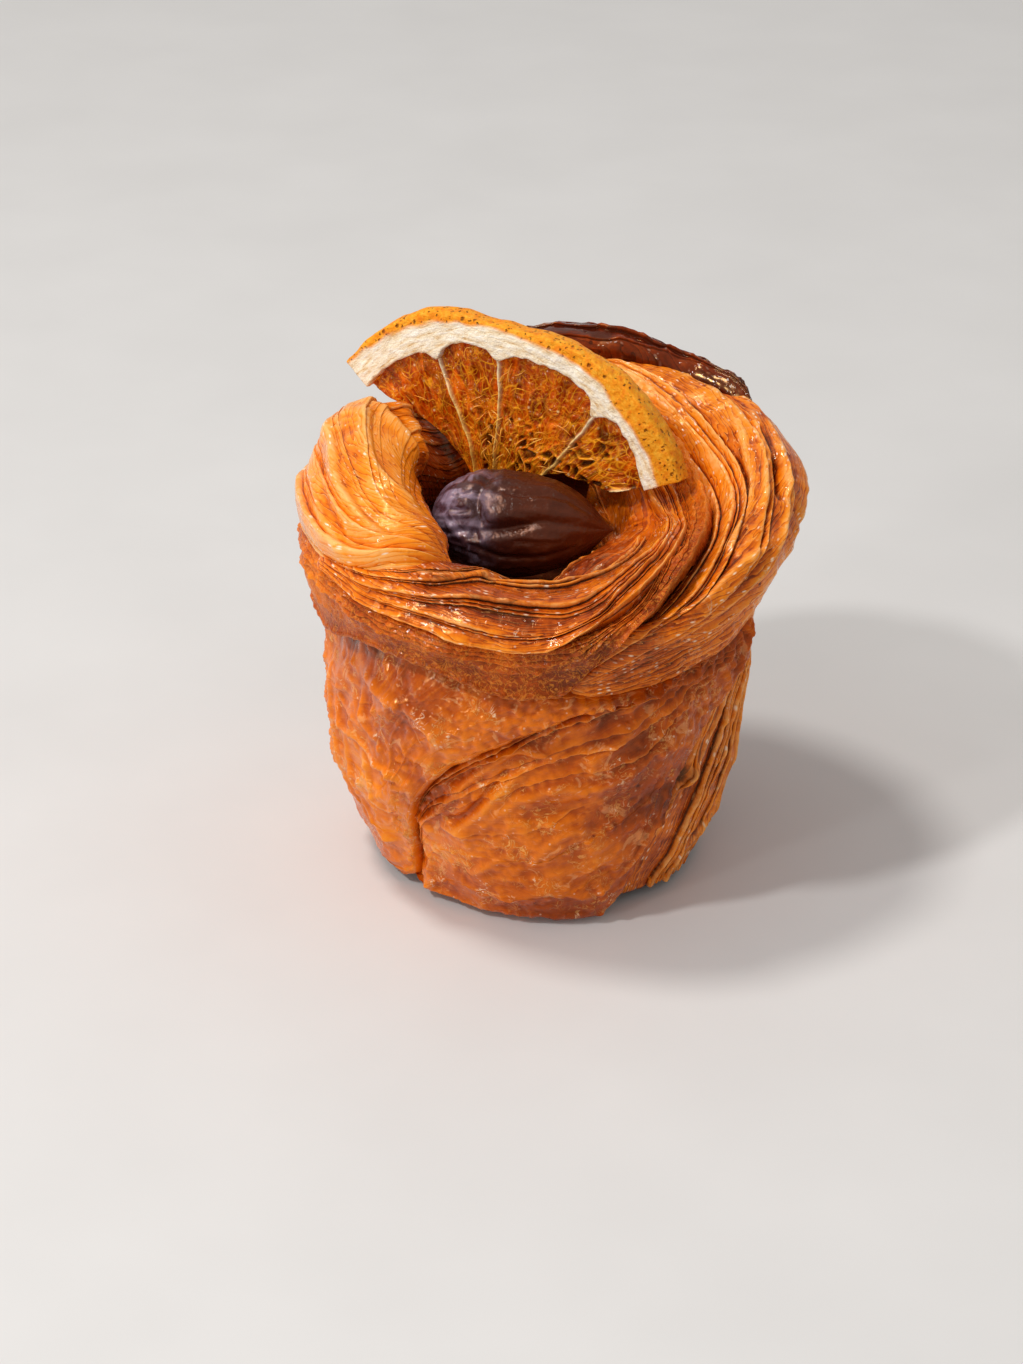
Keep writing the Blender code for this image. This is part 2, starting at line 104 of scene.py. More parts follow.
# Each strand is laid between two edges. A row is a place on the lower edge and the place
# across from it on the upper edge: angle, station, angle, station. Layers are either a list of
# (width, height) from the lower edge to the upper one, or a count, with uneven widths and with
# heights round layer_height. The strand stands base over the rings, and crown more along its
# middle. Edges is what its lower and its upper edge gain in height, and lips are the radii of
# their rolled rims.
STRANDS = {
    "left_lobe": {
        "rows": (
            (-190, 0.95, -183, 1.7), (-165, 0.95, -165, 2.9), (-140, 0.95, -142, 4), (-115, 0.95, -116, 5),
            (-90, 1.15, -88, 5.2), (-66, 1.25, -66, 5.1), (-54, 1.5, -50, 5.25), (-43, 2.75, -36, 5.25),
            (-32, 3.45, -24, 5.15), (-18, 3.9, -12, 5), (-4, 4.2, 0, 4.9), (8, 4.42, 12, 4.78),
            (22, 4.55, 24, 4.72), (36, 4.65, 37, 4.75),
        ),
        "layers": ((8, 0), (10, 0), (8, 0), (5, 0.2), (3, 0.25)),
        "base": 0.1, "crown": 1.4, "edges": (0.3, -2.4), "lips": (2.2, 1.0), "lumps": 1.3, "veins": 0.3,
        "dimples": 0.17, "grain": 0.02, "blisters": 1500, "toast": 0.475, "tuck_shade": 0.12, "contrast": 0.55,
        "lined": 0.1,
    },
    "front_lobe": {
        "rows": (
            (-60, 0.95, -52, 1.6), (-50, 0.95, -46, 2.5), (-36, 0.95, -36, 3.35), (-20, 0.95, -22, 3.85),
            (-4, 0.95, -8, 4.2), (10, 0.95, 6, 4.5), (19, 1.25, 20, 4.6), (29, 2.2, 34, 4.72),
            (42, 3.35, 48, 4.75), (53, 4, 62, 4.85), (61, 4.3, 68, 4.95), (70, 4.6, 74, 5.05),
        ),
        "layers": ((11, 0), (9, 0), (8, 0), (7, 0.2), (3, 0.4), (1.2, 0.5), (3, 0.5), (1, 0.5), (1.2, 0.5)),
        "base": 0.2, "crown": 1.3, "edges": (0.2, -2.6), "lips": (2.2, 1.0), "lumps": 1.1, "veins": 0.3,
        "dimples": 0.14, "blisters": 1200, "toast": 0.49, "tuck_shade": 0.12, "contrast": 0.55, "lined": 0.15,
    },
    "right_pleats": {
        "rows": (
            (22, 0.95, 96, 0.95), (24, 1.7, 100, 1.6), (28, 2.4, 106, 2.2), (41, 3.25, 113, 2.8),
            (52, 3.95, 124, 3.35), (62, 4.45, 137, 3.85), (82, 4.85, 150, 4.35), (110, 5.15, 163, 4.85),
            (150, 5.45, 178, 5.35),
        ),
        "layers": 17, "layer_height": 1.1, "base": -0.2, "crown": 1.3, "edges": (-2.0, -1.6),
        "lips": (1.0, 1.0), "veins": 0.12, "grain": 0.05, "fray": 0.6, "toast": 0.57, "tuck_shade": 0.2,
        "gloss": 0.95, "curls": 0.1,
    },
    "back_lobe": {
        "rows": (
            (90, 0.95, 98, 1.5), (110, 0.95, 110, 2.6), (125, 0.95, 127, 3.5), (142, 0.95, 143, 4.1),
            (160, 0.95, 160, 4.85), (172, 1.3, 176, 5.35), (184, 2.6, 192, 5.45), (198, 3.4, 207, 5.45),
            (214, 4, 222, 5.35), (232, 4.65, 238, 5.25), (250, 5.05, 252, 5.2),
        ),
        "layers": (
            (9, 0), (7, 0.2), (6, 0), (4, 0.5), (2, 0.5), (1.2, 0.5), (1, 0.6), (2, 0.6), (1, 0.4),
            (1, 0.4),
        ),
        "base": 0.1, "crown": 1.1, "edges": (0.2, -3.2), "lips": (2.0, 1.2), "lumps": 0.8, "veins": 0.08,
        "dimples": 0.17, "blisters": 900, "toast": 0.52, "tuck_shade": 0.2, "contrast": 0.65, "gloss": 0.9,
        "lined": 0.15,
    },
    "right_sweep": {
        "rows": (
            (0, 4.65, 3, 4.85), (14, 4.6, 9, 5.4), (26, 4.6, 17, 6.2), (38, 4.65, 27, 6.95),
            (52, 4.7, 42, 7.45), (68, 4.8, 60, 7.85), (88, 4.95, 88, 8.3), (110, 5.1, 110, 8.5),
            (135, 5.25, 135, 8.6), (165, 5.4, 165, 8.7), (195, 5.5, 195, 8.4), (222, 5.7, 222, 6.6),
        ),
        "layers": (
            (0.7, 0.9), (1.2, 1), (0.6, 0.6), (2, 1.2), (0.7, 0.6), (0.6, 0.6), (1.6, 1.3), (0.5, 0.5),
            (2.6, 1.5), (0.8, 0.7), (0.6, 0.7), (1.8, 1.3), (0.6, 0.5), (3, 1.5), (0.8, 0.8), (0.6, 0.6),
            (2.2, 1.3), (1, 0.8),
        ),
        "base": -0.2, "crown": 0.7, "edges": (0.0, -1.6), "lips": (1.2, 1.0), "lumps": 0.5, "grain": 0.035,
        "ragged": 0.25, "fray": 0.45, "toast": 0.54, "curls": 0.1,
    },
    "collar": {
        "rows": (
            (-220, 5.5, -220, 6), (-180, 5.35, -180, 6), (-150, 5.3, -150, 6), (-110, 5.15, -110, 6.1),
            (-72, 4.8, -72, 6.35), (-51, 5.08, -51, 6.3), (-36, 5.12, -38, 6.2), (-22, 5, -24, 6.05),
            (-10, 4.82, -10, 5.9), (0, 4.8, 1, 6.2), (6, 4.95, 8, 6.5), (10, 5.35, 14, 6.9),
            (17, 6.05, 24, 7.3), (27, 6.8, 36, 7.7), (42, 7.3, 52, 8), (60, 7.7, 70, 8.35),
            (90, 8.1, 95, 8.65), (120, 8.4, 122, 8.8),
        ),
        "layers": ((5, 0), (3, 0.35), (1.2, 0.8), (1, 0.6), (1, 0.7), (1.5, 0.8), (1, 0.4)),
        "base": 0.6, "crown": 0.5, "edges": (0.9, -1.8), "lips": (0.9, 1.0), "veins": 0.14, "grain": 0.07,
        "blisters": 1000, "ragged": 1.0, "flare": 0.7, "rim": 0.8, "toast": 0.66, "contrast": 0.5,
        "gloss": 0.5, "lined": 0.12, "curls": 1.0,
    },
    "left_shoulder": {
        "rows": (
            (-195, 8.7, -192, 9.05), (-175, 7.5, -172, 9.7), (-155, 6.5, -150, 9.8), (-130, 6, -125, 9.8),
            (-110, 5.9, -105, 9.8), (-88, 6, -85, 9.7), (-68, 6.15, -65, 9.5), (-52, 6.35, -50, 9.2),
            (-42, 6.8, -40, 8.95), (-33, 7.3, -33, 8.6), (-27, 7.7, -27, 8.3),
        ),
        "layers": (
            (3.4, 0.9), (0.9, 0.15), (2.4, 0.55), (1, 0.15), (2, 0.3), (0.8, 0.12), (2.4, 0.5), (1.2, 0.15),
            (0.8, 0.12), (2, 0.45), (1, 0.15), (1.2, 0.2), (0.9, 0.12), (1.6, 0.4), (0.9, 0.15), (1.2, 0.3),
            (1, 0.15), (1.2, 0.3),
        ),
        "base": 0.3, "crown": 1.3, "edges": (0.2, -0.8), "lips": (1.8, 1.4), "lumps": 0.5, "grain": 0.04,
        "fray": 0.35, "lean": 1, "toast": 0.21, "contrast": 0.65, "gloss": 0.95, "lined": 0.9,
    },
    "inner_swirl": {
        "rows": (
            (-72, 6, -72, 6.3), (-60, 6.05, -58, 6.6), (-51, 6, -47, 6.95), (-40, 5.95, -36, 7.6),
            (-29, 5.9, -26, 8.2), (-19, 5.7, -15, 8.8), (-10, 5.62, -2, 9), (-2, 5.7, 12, 9.2),
            (6, 6.2, 28, 9.3), (13, 6.75, 44, 9.4), (24, 7.15, 60, 9.5), (38, 7.5, 76, 9.6),
            (54, 7.85, 92, 9.7), (72, 8.2, 108, 9.8), (96, 8.45, 125, 9.8), (125, 8.45, 145, 9.8),
            (160, 8.35, 165, 9.7), (190, 8.2, 190, 9.5),
        ),
        "layers": (
            (3, 1.2), (0.8, 0.5), (2.8, 1.2), (0.7, 0.4), (1, 0.5), (5, 1.2), (1, 0.5), (2.4, 0.9),
            (1, 0.4), (6, 0.2),
        ),
        "base": 0.3, "crown": 0.6, "edges": (0.4, -1.8), "lips": (1.2, 1.0), "veins": 0.15, "grain": 0.035,
        "ragged": 0.5, "fray": 0.4, "toast": 0.54, "contrast": 0.95, "curls": 0.1,
    },
    "inner_leaf": {
        "rows": (
            (8, 8.9, 4, 10), (28, 8.7, 22, 10.6), (50, 8.6, 46, 10.9), (74, 8.7, 72, 11), (98, 8.9, 98, 11),
            (120, 9.1, 122, 10.9), (140, 9.3, 142, 10.5),
        ),
        "layers": ((5, 0), (0.8, 0.4), (3, 0.3), (1, 0.4)),
        "base": 3.6, "crown": 1.4, "edges": (-2.4, -1.0), "lips": (1.0, 1.4), "grain": 0.04, "blisters": 60,
        "ragged": 0.2, "toast": 0.56, "gloss": 0.8, "lined": 0.4,
    },
    "dark_fold": {
        "rows": (
            (112, 6.7, 112, 7), (120, 6.75, 118, 7.15), (130, 6.8, 128, 7.35), (140, 6.9, 140, 7.6),
            (153, 6.95, 153, 7.9), (169, 7, 169, 8.1), (185, 7, 185, 8.1), (205, 6.9, 205, 7.9),
            (225, 6.6, 225, 7.2),
        ),
        "layers": ((3, 0.3), (2, 0.3), (3, 0.9), (2.5, 0.4)),
        "base": 1.9, "crown": 1.4, "edges": (0.0, 0.0), "lips": (1.8, 1.8), "lumps": 0.7, "veins": 0.4,
        "blisters": 120, "lean": 1, "toast": 1.08, "lined": 0.4,
    },
}
# Folds drawn on a strand: height, width of the left side and of the right side as seen along
# the line from outside, and the places along the line. A negative height is a groove.
FOLDS = {
    "left_lobe": (
        (0.9, 0.9, 0.7, ((-72, 4.1), (-66, 3.71), (-57, 3.68), (-50, 3.58), (-43, 3.53), (-37, 3.43))),
        (0.8, 0.8, 0.7, ((-66, 3.9), (-64, 3.3), (-63, 2.99), (-62, 2.74), (-56, 2.51), (-49, 2.51))),
        (0.7, 0.8, 0.6, ((-55, 3.7), (-54, 3.18), (-53, 3), (-47, 2.91), (-43, 2.89))),
        (0.6, 1.2, 0.6, ((-55, 4.4), (-54, 4.2), (-53, 3.98), (-49, 3.86), (-45, 3.84))),
        (0.8, 1.6, 0.7, ((-50, 4.7), (-52, 4.48), (-46, 4.45), (-40, 4.41), (-33, 4.39), (-26, 4.3))),
        (1, 2.4, 0.9, ((-35, 4.3), (-29, 4.26), (-27, 4.1), (-30, 3.9), (-36, 3.75))),
        (-0.9, 0.9, 0.9, ((-48, 2.95), (-47, 2.91), (-46, 2.88))),
        (0.7, 0.9, 0.7, ((-74, 4.6), (-73, 3.9), (-72, 3.2), (-69, 2.6), (-64, 2.2))),
        (0.6, 0.8, 0.7, ((-80, 4.9), (-80, 4.2), (-79, 3.4), (-77, 2.6))),
        (1.2, 4, 4, ((-66, 4.6), (-48, 4.5), (-36, 4.2))),
        (0.9, 3, 3, ((-60, 2.2), (-56, 2.8), (-58, 3.3))),
        (0.8, 1.2, 0.6, ((-86, 4.3), (-93, 3.7), (-104, 3.4), (-118, 3.3))),
        (0.7, 0.9, 0.7, ((-100, 4.6), (-108, 4.1), (-120, 3.9), (-134, 3.6))),
        (0.7, 1, 0.7, ((-90, 3), (-100, 2.5), (-114, 2.4), (-128, 2.5))),
    ),
    "front_lobe": (
        (0.8, 0.8, 0.7, ((-46, 2.4), (-38, 2.88), (-30, 3.2), (-25, 3.42), (-16, 3.74), (-7, 3.98),
            (2, 3.98), (8, 4.1), (13, 4.2))),
        (1, 0.5, 1.3, ((-32, 2.95), (-26, 3), (-18, 3.26), (-15, 3.38), (-12, 3.53), (-7, 3.71),
            (-2, 3.93))),
        (-0.8, 0.6, 0.6, ((-30, 3.08), (-24, 3.15), (-17, 3.42), (-12, 3.66), (-6, 3.85))),
        (0.5, 0.9, 0.9, ((-25, 2.9), (-18, 3.1), (-8, 3.42), (-2, 3.52), (6, 3.7))),
        (0.7, 0.7, 1.3, ((-6, 2.6), (-3, 2.73), (1, 2.96), (6, 3.09), (10, 3.12), (16, 3.05))),
        (0.6, 0.8, 1, ((-26, 2.4), (-22, 2.48), (-16, 2.64), (-11, 2.75), (-6, 2.8))),
        (-1, 3, 3, ((-6, 3.15), (4, 3.35), (14, 3.3))),
        (0.8, 1, 1.8, ((-2, 3.5), (6, 3.62), (17, 3.62), (26, 3.81), (32, 3.95), (43, 4.1))),
        (0.6, 0.6, 1, ((0, 4.01), (4, 4.12), (6, 4.21), (12, 4.28), (18, 4.3))),
        (0.7, 0.8, 0.5, ((18, 4.3), (26, 4.42), (34, 4.52), (42, 4.52), (55, 4.55))),
        (0.6, 0.8, 1.2, ((12, 3.85), (14, 3.93), (20, 4.06), (26, 4.25), (34, 4.35), (46, 4.4))),
        (0.9, 0.5, 0.8, ((22, 2.3), (28, 2.58), (32, 2.8), (34, 2.95), (40, 3.1))),
        (0.6, 1.5, 0.8, ((-20, 1.9), (-8, 2.2), (4, 2.3), (16, 2.1))),
    ),
    "right_pleats": (
        (1.1, 0.6, 1, ((34, 2.6), (38, 2.95), (44, 3.2), (48, 3.3), (51, 3.61), (54, 3.78), (58, 4.03),
            (60, 4.3))),
        (0.9, 0.5, 0.8, ((46, 2.9), (48, 3.3), (52, 3.43), (56, 3.66), (61, 3.83), (66, 4.08), (70, 4.3))),
        (1, 0.5, 0.8, ((54, 2.2), (58, 2.39), (66, 2.6), (70, 2.88), (74, 3.09), (80, 3.4))),
        (-1.6, 0.8, 0.8, ((47, 3.5), (50, 3.7), (53, 3.9), (56, 4.15), (59, 4.3))),
    ),
    "collar": (
        (1.3, 0.5, 0.9, ((22, 6.75), (27, 6.92), (34, 7.1), (40, 7.25), (46, 7.4), (54, 7.62))),
        (0.9, 0.5, 0.7, ((18, 6.95), (26, 7.3), (33, 7.48), (40, 7.5), (48, 7.6), (58, 7.8))),
        (0.8, 1.4, 0.5, ((-62, 5.9), (-50, 5.75), (-38, 5.7), (-26, 5.6), (-14, 5.35))),
    ),
    "right_sweep": (
        (1, 0.6, 1.4, ((26, 6.2), (36, 6.33), (43, 6.55), (50, 6.6), (58, 6.5), (66, 6.7))),
        (1.1, 1.2, 0.7, ((110, 7.5), (100, 7.5), (89, 7.5), (78, 7.4), (66, 7.3), (55, 7.2), (46, 7.1))),
        (0.9, 1.2, 0.7, ((112, 7.2), (106, 7.2), (96, 7.25), (86, 7.2), (76, 7.15), (64, 7))),
        (-1.8, 0.7, 0.7, ((89, 7.05), (86, 7), (81, 6.93), (77, 6.8), (73, 6.64))),
        (0.9, 0.8, 0.8, ((104, 7), (92, 6.95), (82, 6.7), (77, 6.5), (67, 6.35), (58, 6.2))),
    ),
    "inner_swirl": (
        (0.9, 1, 0.6, ((118, 8.3), (108, 8.25), (101, 8.25), (92, 8.2), (84, 8.15))),
        (0.9, 1, 0.6, ((112, 8.9), (100, 8.85), (88, 8.75), (76, 8.5), (66, 8.3), (46, 7.95), (32, 7.7))),
        (-1, 1.2, 1.2, ((-20, 7.5), (-10, 7.9), (0, 8.1), (14, 8.3))),
        (0.8, 0.6, 0.9, ((-40, 7), (-30, 7.25), (-20, 7.6), (-10, 7.95))),
    ),
    "left_shoulder": (
        (1.8, 5, 5, ((-140, 7.6), (-124, 7.6), (-106, 7.5), (-88, 7.5))),
        (1, 0.5, 1.6, ((-104, 7.3), (-92, 7.34), (-81, 7.33), (-71, 7.24), (-62, 7.23), (-52, 7.23),
            (-42, 7.35))),
        (0.5, 0.5, 1.5, ((-98, 6.75), (-82, 6.8), (-73, 6.75), (-64, 6.69), (-57, 6.62), (-50, 6.5))),
        (-0.8, 1, 1, ((-95, 7), (-79, 6.98), (-66, 6.88), (-56, 6.78))),
        (1.9, 0.6, 2.4, ((-130, 7.8), (-124, 8.1), (-118, 8.4), (-108, 8.9), (-102, 9.5))),
        (1.4, 0.6, 2, ((-112, 7.9), (-102, 8.3), (-94, 8.75), (-86, 9.2))),
        (0.8, 0.6, 1.4, ((-120, 7.8), (-96, 7.94), (-81, 7.98), (-68, 7.94), (-57, 8.08), (-48, 8.29))),
    ),
}
# Where the crust is baked darker or paler, and where shade and a highlight are painted on it: angle, half
# width, station, reach, amount.
# The patches at -120, -142 and -112 degrees are painted shade in and beside the hollow; those at 142 and
# 156 degrees are a painted highlight on the back fold.
TOAST_SHADE_AND_HIGHLIGHT = (
    (35, 20, 3.3, 0.9, 0.16), (22, 18, 5.4, 0.8, 0.22), (-15, 30, 8.3, 0.8, 0.22),
    (-60, 40, 9.3, 0.8, 0.3), (-120, 34, 9.7, 0.7, 0.4), (-142, 20, 8.5, 0.8, 0.75),
    (-112, 20, 9.3, 0.4, 0.3), (-36, 14, 8.5, 0.8, 0.2), (20, 30, 9, 0.6, 0.12),
    (0, 30, 6.9, 0.8, 0.08), (-80, 30, 5.6, 0.5, -0.1), (-8, 24, 7.2, 0.35, 0.13),
    (0, 30, 1.8, 0.7, 0.08), (-15, 16, 5.1, 0.5, 0.08), (105, 40, 7.9, 0.7, -0.16),
    (-15, 14, 6.7, 0.5, 0.12), (142, 14, 8.3, 0.3, -0.4), (156, 10, 8.3, 0.3, -0.35),
    (60, 30, 6.3, 0.8, -0.06), (-35, 12, 4.4, 0.8, 0.12), (-50, 14, 4, 0.7, -0.1),
)
CREASE_SHADE = 0.3  # how much painted shade darkens the deepest creases
STRAND_SINK = 1.9  # from the rings down to a strand's base
CORE_SINK = 5.0  # from the rings down to the core
# The core is coloured very dark as painted shade, since it shows only deep in the creases.
CORE_SHADE = 0.95
ALONG_STEP = 0.42  # distance between a strand's points along it, at the front
BACK_THINNING = 0.5  # share of them that is left out at the back
ACROSS_STEP = 0.45  # distance between the points across a layer
LAYER_SPREAD = 0.6  # unevenness of the widths of counted layers
LIP_TURNS = (-55, 82)  # degrees, from under the rolled rim to nearly its top
LIP_POINTS = 7
WALL_DEPTH = 3.6  # from a strand's edge down to its hidden underside
END_DIVE = 3.0  # how far a strand's ends sink
END_LENGTH = 9.0
FLARE_REACH = 1.1
# Width of the painted highlight along a strand's lower edge.
RIM_REACH = 0.3
TUCK_REACH = 4.5
TUCK_DULLNESS = 3.0  # how much duller an upper edge gets than its painted shade darkens it
FOLD_EDGE = 0.4  # width of the painted highlight along a fold's crest
BLISTER_SIZES = (0.5, 1.2)

FRUIT_BIG_END = (-18.9, -2.4, 62.7)
FRUIT_POINT = (9.9, -4.6, 61.6)
FRUIT_RADIUS = 9.3
FRUIT_LENGTH = 30.0
FRUIT_BIG_END_SHARE = 0.36
FRUIT_FLATTEN = 0.95
FRUIT_STRETCH = 1.05
# Creases of the fruit: depth, width, and places as a share of its length and a turn about it,
# 0 degrees at the front and 90 on top.
FRUIT_CREASES = (
    (1.1, 1.0, ((0.33, 118), (0.30, 86), (0.26, 49), (0.285, 31), (0.29, 17))),
    (1.1, 1.1, ((0.26, 14), (0.29, 17), (0.40, 21), (0.60, 31), (0.71, 31), (0.98, 30))),
    (0.7, 0.8, ((0.05, 2), (0.12, 8), (0.20, 14), (0.29, 16))),
    (0.45, 0.5, ((0.06, 44), (0.12, 42), (0.21, 41))),
    (0.4, 0.45, ((0.08, 62), (0.15, 60), (0.24, 63))),
    (0.5, 0.6, ((0.30, -5), (0.42, -14), (0.60, -12), (0.78, -8))),
    (0.5, 0.7, ((0.36, 66), (0.50, 62), (0.68, 68), (0.85, 64))),
    (0.4, 0.5, ((0.10, -18), (0.18, -10), (0.27, -14))),
    (0.8, 1.0, ((0.2, 160), (0.45, 150), (0.7, 158), (0.95, 150))),
    (0.8, 1.0, ((0.1, 230), (0.4, 216), (0.7, 224), (0.95, 220))),
    (0.7, 0.9, ((0.15, 290), (0.4, 280), (0.7, 286))),
)

# The slice is drawn in polar places on its wheel: radius, and a turn from its right-hand side.
SLICE_CENTRE = (-11.0, 6.1, 56.3)
SLICE_YAW = 26.0
SLICE_LEAN = 9.0
SLICE_THICKNESS = 4.6
SLICE_ENDS = (24.0, 139.0)
PULP_INNER = 9.0
PULP_FRONT = 1.6
PULP_BACK = 3.0
WALL_WIDTH = 0.24
SWEEP_SCALE = 24.0  # length of one radian in the pulp's patterns, which run along its radii
FIBRE_COUNT = 44
# Radius at each turn: the peel's outside, the pith's inside and the line between the two.
SLICE_OUTER = ((23, 37.8), (45, 37.8), (65, 36.8), (90, 35.6), (111, 38.0), (139, 37.2))
PITH_INNER = (
    (23, 31.0), (35, 31.5), (44, 32.0), (49, 31.2), (52.5, 29.4), (56, 31.2), (62, 31.9),
    (75, 31.6), (84, 31.0), (89.5, 29.4), (93.5, 31.2), (104, 31.9), (109, 31.2), (112, 30.0),
    (115, 31.6), (126, 31.9), (139, 31.6),
)
PEEL_INNER = (
    (23, 33.2), (33, 33.4), (43, 33.6), (48, 33.4), (58, 34.4), (68, 34.3), (77, 34.0),
    (86, 34.4), (98, 35.0), (114, 36.0), (128, 36.2), (139, 36.4),
)
# Turn of the broken ends at each radius.
SLICE_LEFT_END = ((9, 113), (16, 121.5), (26.5, 135), (32, 138.5), (39, 139.5))
SLICE_RIGHT_END = ((9, 64), (15, 50), (19, 38), (24, 27), (32, 24.5), (39, 23))
# Turn of the walls between the sectors, at radius 31 and at radius 11.
SECTOR_WALLS = ((25.0, 25.0), (52.5, 49.0), (90.5, 87.5), (112.5, 108.0), (139.0, 139.0))


# ---- numbers and curves ----


def smooth_path(points, samples):
    """Points on a Catmull-Rom curve through the given ones, one unit between neighbours."""
    points = np.asarray(points, float)
    last = len(points) - 1
    where = np.clip(np.asarray(samples, float), 0.0, last - 1e-9)
    index = np.floor(where).astype(int)
    t = (where - index)[..., None]
    before = points[np.clip(index - 1, 0, last)]
    start, end = points[index], points[index + 1]
    after = points[np.clip(index + 2, 0, last)]
    before = np.where((index == 0)[..., None], 2 * start - end, before)
    after = np.where((index == last - 1)[..., None], 2 * end - start, after)
    cubic = 3 * start - before - 3 * end + after
    square = 2 * before - 5 * start + 4 * end - after
    return 0.5 * (2 * start + (end - before) * t + square * t**2 + cubic * t**3)


def spread_path(points, count):
    """So many points on that curve, from the first given point to the last."""
    return smooth_path(points, np.linspace(0, len(points) - 1, count))


def profile(table, x):
    """The value at x of a table of (x, value), eased between its entries."""
    xs, values = np.asarray(table, float).T
    x = np.clip(x, xs[0], xs[-1])
    index = np.clip(np.searchsorted(xs, x, side="right") - 1, 0, len(xs) - 2)
    share = (x - xs[index]) / (xs[index + 1] - xs[index])
    return smooth_path(values[:, None], index + share)[..., 0]


def wrapped(angle, centre):
    """The angle's difference from centre, between -180 and 180 degrees."""
    return (np.asarray(angle) - centre + 180.0) % 360.0 - 180.0


def bell(x):
    """1 where x is 0, falling off smoothly to both sides."""
    return np.exp(-(x**2))


def smoothstep(low, high, x):
    t = np.clip((x - low) / (high - low), 0.0, 1.0)
    return t * t * (3 - 2 * t)


def unit(vectors):
    return vectors / np.linalg.norm(vectors, axis=-1, keepdims=True)


NOISE_VALUES = np.random.default_rng(11).uniform(-1.0, 1.0, 4096)


def noise(points, size, seed=0):
    """Smooth noise between -1 and 1 over points (..., 3), changing over about size."""
    scaled = np.asarray(points, float) / size + 17.31 * (seed + 1)
    cell = np.floor(scaled).astype(np.int64)
    share = scaled - cell
    share = share * share * (3 - 2 * share)
    total = np.zeros(scaled.shape[:-1])
    for corner in range(8):
        step = np.array([corner & 1, corner >> 1 & 1, corner >> 2 & 1])
        # A corner's value is picked by a hash of its three whole numbers.
        key = (cell + step) * np.array([73856093, 19349663, 83492791])
        key = key[..., 0] ^ key[..., 1] ^ key[..., 2]
        weight = np.where(step == 1, share, 1 - share).prod(-1)
        total += weight * NOISE_VALUES[key % len(NOISE_VALUES)]
    return total


def wave(distance, size, seed):
    """Noise along one direction."""
    zero = np.zeros_like(distance)
    return noise(np.stack([distance, zero, zero], -1), size, seed)


# ---- the ring surface ----


def patch(angle, station, middle, half_width, level, reach, power=2):
    """1 at one place of the crust, falling off around it."""
    away = (wrapped(angle, middle) / half_width) ** 2 + ((station - level) / reach) ** power
    return np.exp(-away)


def ring_surface(angle, station):
    """The crust without its folds, in millimetres."""
    angle, station = np.broadcast_arrays(np.asarray(angle, float), np.asarray(station, float))
    x, y, radius, z, front, right, pair = np.moveaxis(smooth_path(RINGS, station), -1, 0)
    turn = np.radians(angle)
    z = z + front * np.cos(turn) + right * np.sin(turn) + pair * np.cos(2 * turn)
    for *spot, depth in CREST_DIPS:
        z -= depth * patch(angle, station, *spot, power=4)
    for *spot, amount in BULGES:
        radius += amount * patch(angle, station, *spot) * smoothstep(0.0, 1.0, station)
    return np.stack([x + radius * np.sin(turn), y - radius * np.cos(turn), np.maximum(z, 0.0)], -1)


def ring_normal(angle, station):
    """Outward direction of ring_surface."""
    step_angle, step_station = 0.5, 0.01
    across = ring_surface(angle + step_angle, station) - ring_surface(angle - step_angle, station)
    up = ring_surface(angle, station + step_station) - ring_surface(angle, station - step_station)
    return unit(np.cross(across, up))


# ---- meshes ----


def grid_faces(rows, columns, close_rows=False, close_columns=False):
    """Quads of a grid of rows x columns points."""
    row = np.arange(rows if close_rows else rows - 1)
    column = np.arange(columns if close_columns else columns - 1)
    row, column = np.meshgrid(row, column, indexing="ij")
    next_row, next_column = (row + 1) % rows, (column + 1) % columns
    corners = (
        row * columns + column,
        row * columns + next_column,
        next_row * columns + next_column,
        next_row * columns + column,
    )
    return np.stack(corners, -1).reshape(-1, 4)


def end_caps(rows, columns, first=0):
    """The first and the last row of a grid of points, each as one face."""
    row = first + np.arange(columns)
    return row[::-1], row + (rows - 1) * columns


def make_mesh(name, points, faces, caps=(), attributes=None):
    """An object from points in millimetres, quads, and end faces with many corners."""
    mesh = bpy.data.meshes.new(name)
    corners = np.asarray(faces).tolist() + [np.asarray(cap).tolist() for cap in caps]
    mesh.from_pydata(np.reshape(points, (-1, 3)) * MM, [], corners)
    mesh.validate()
    for key, values in (attributes or {}).items():
        layer = mesh.attributes.new(key, "FLOAT", "POINT")
        layer.data.foreach_set("value", np.asarray(values, np.float32).ravel())
    mesh.shade_smooth()
    obj = bpy.data.objects.new(name, mesh)
    bpy.context.scene.collection.objects.link(obj)
    return obj


def piece(obj, finish, node):
    """Gives the object its material, hangs it from the root body and hides the CAD part it stands in for.
    """
    obj.data.materials.append(finish)
    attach(obj, "root")
    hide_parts(node)


# ---- strands ----


def even_rows(rows):
    """Rows spread along a strand, closer together at the front, and how far along each one is."""
    fine = spread_path(rows, 400)
    angle = (fine[:, 0] + fine[:, 2]) / 2
    middle = ring_surface(angle, (fine[:, 1] + fine[:, 3]) / 2)
    lengths = np.linalg.norm(np.diff(middle, axis=0), axis=-1)
    travelled = np.concatenate([[0], np.cumsum(lengths)])
    density = 1 - BACK_THINNING * smoothstep(100.0, 130.0, np.abs(wrapped(angle, 10.0)))
    effort = np.concatenate([[0], np.cumsum(lengths * density[1:])])
    spread = np.linspace(0, effort[-1], int(effort[-1] / ALONG_STEP))
    where = np.interp(spread, effort, np.linspace(0, len(rows) - 1, 400))
    return smooth_path(rows, where), np.interp(spread, effort, travelled)


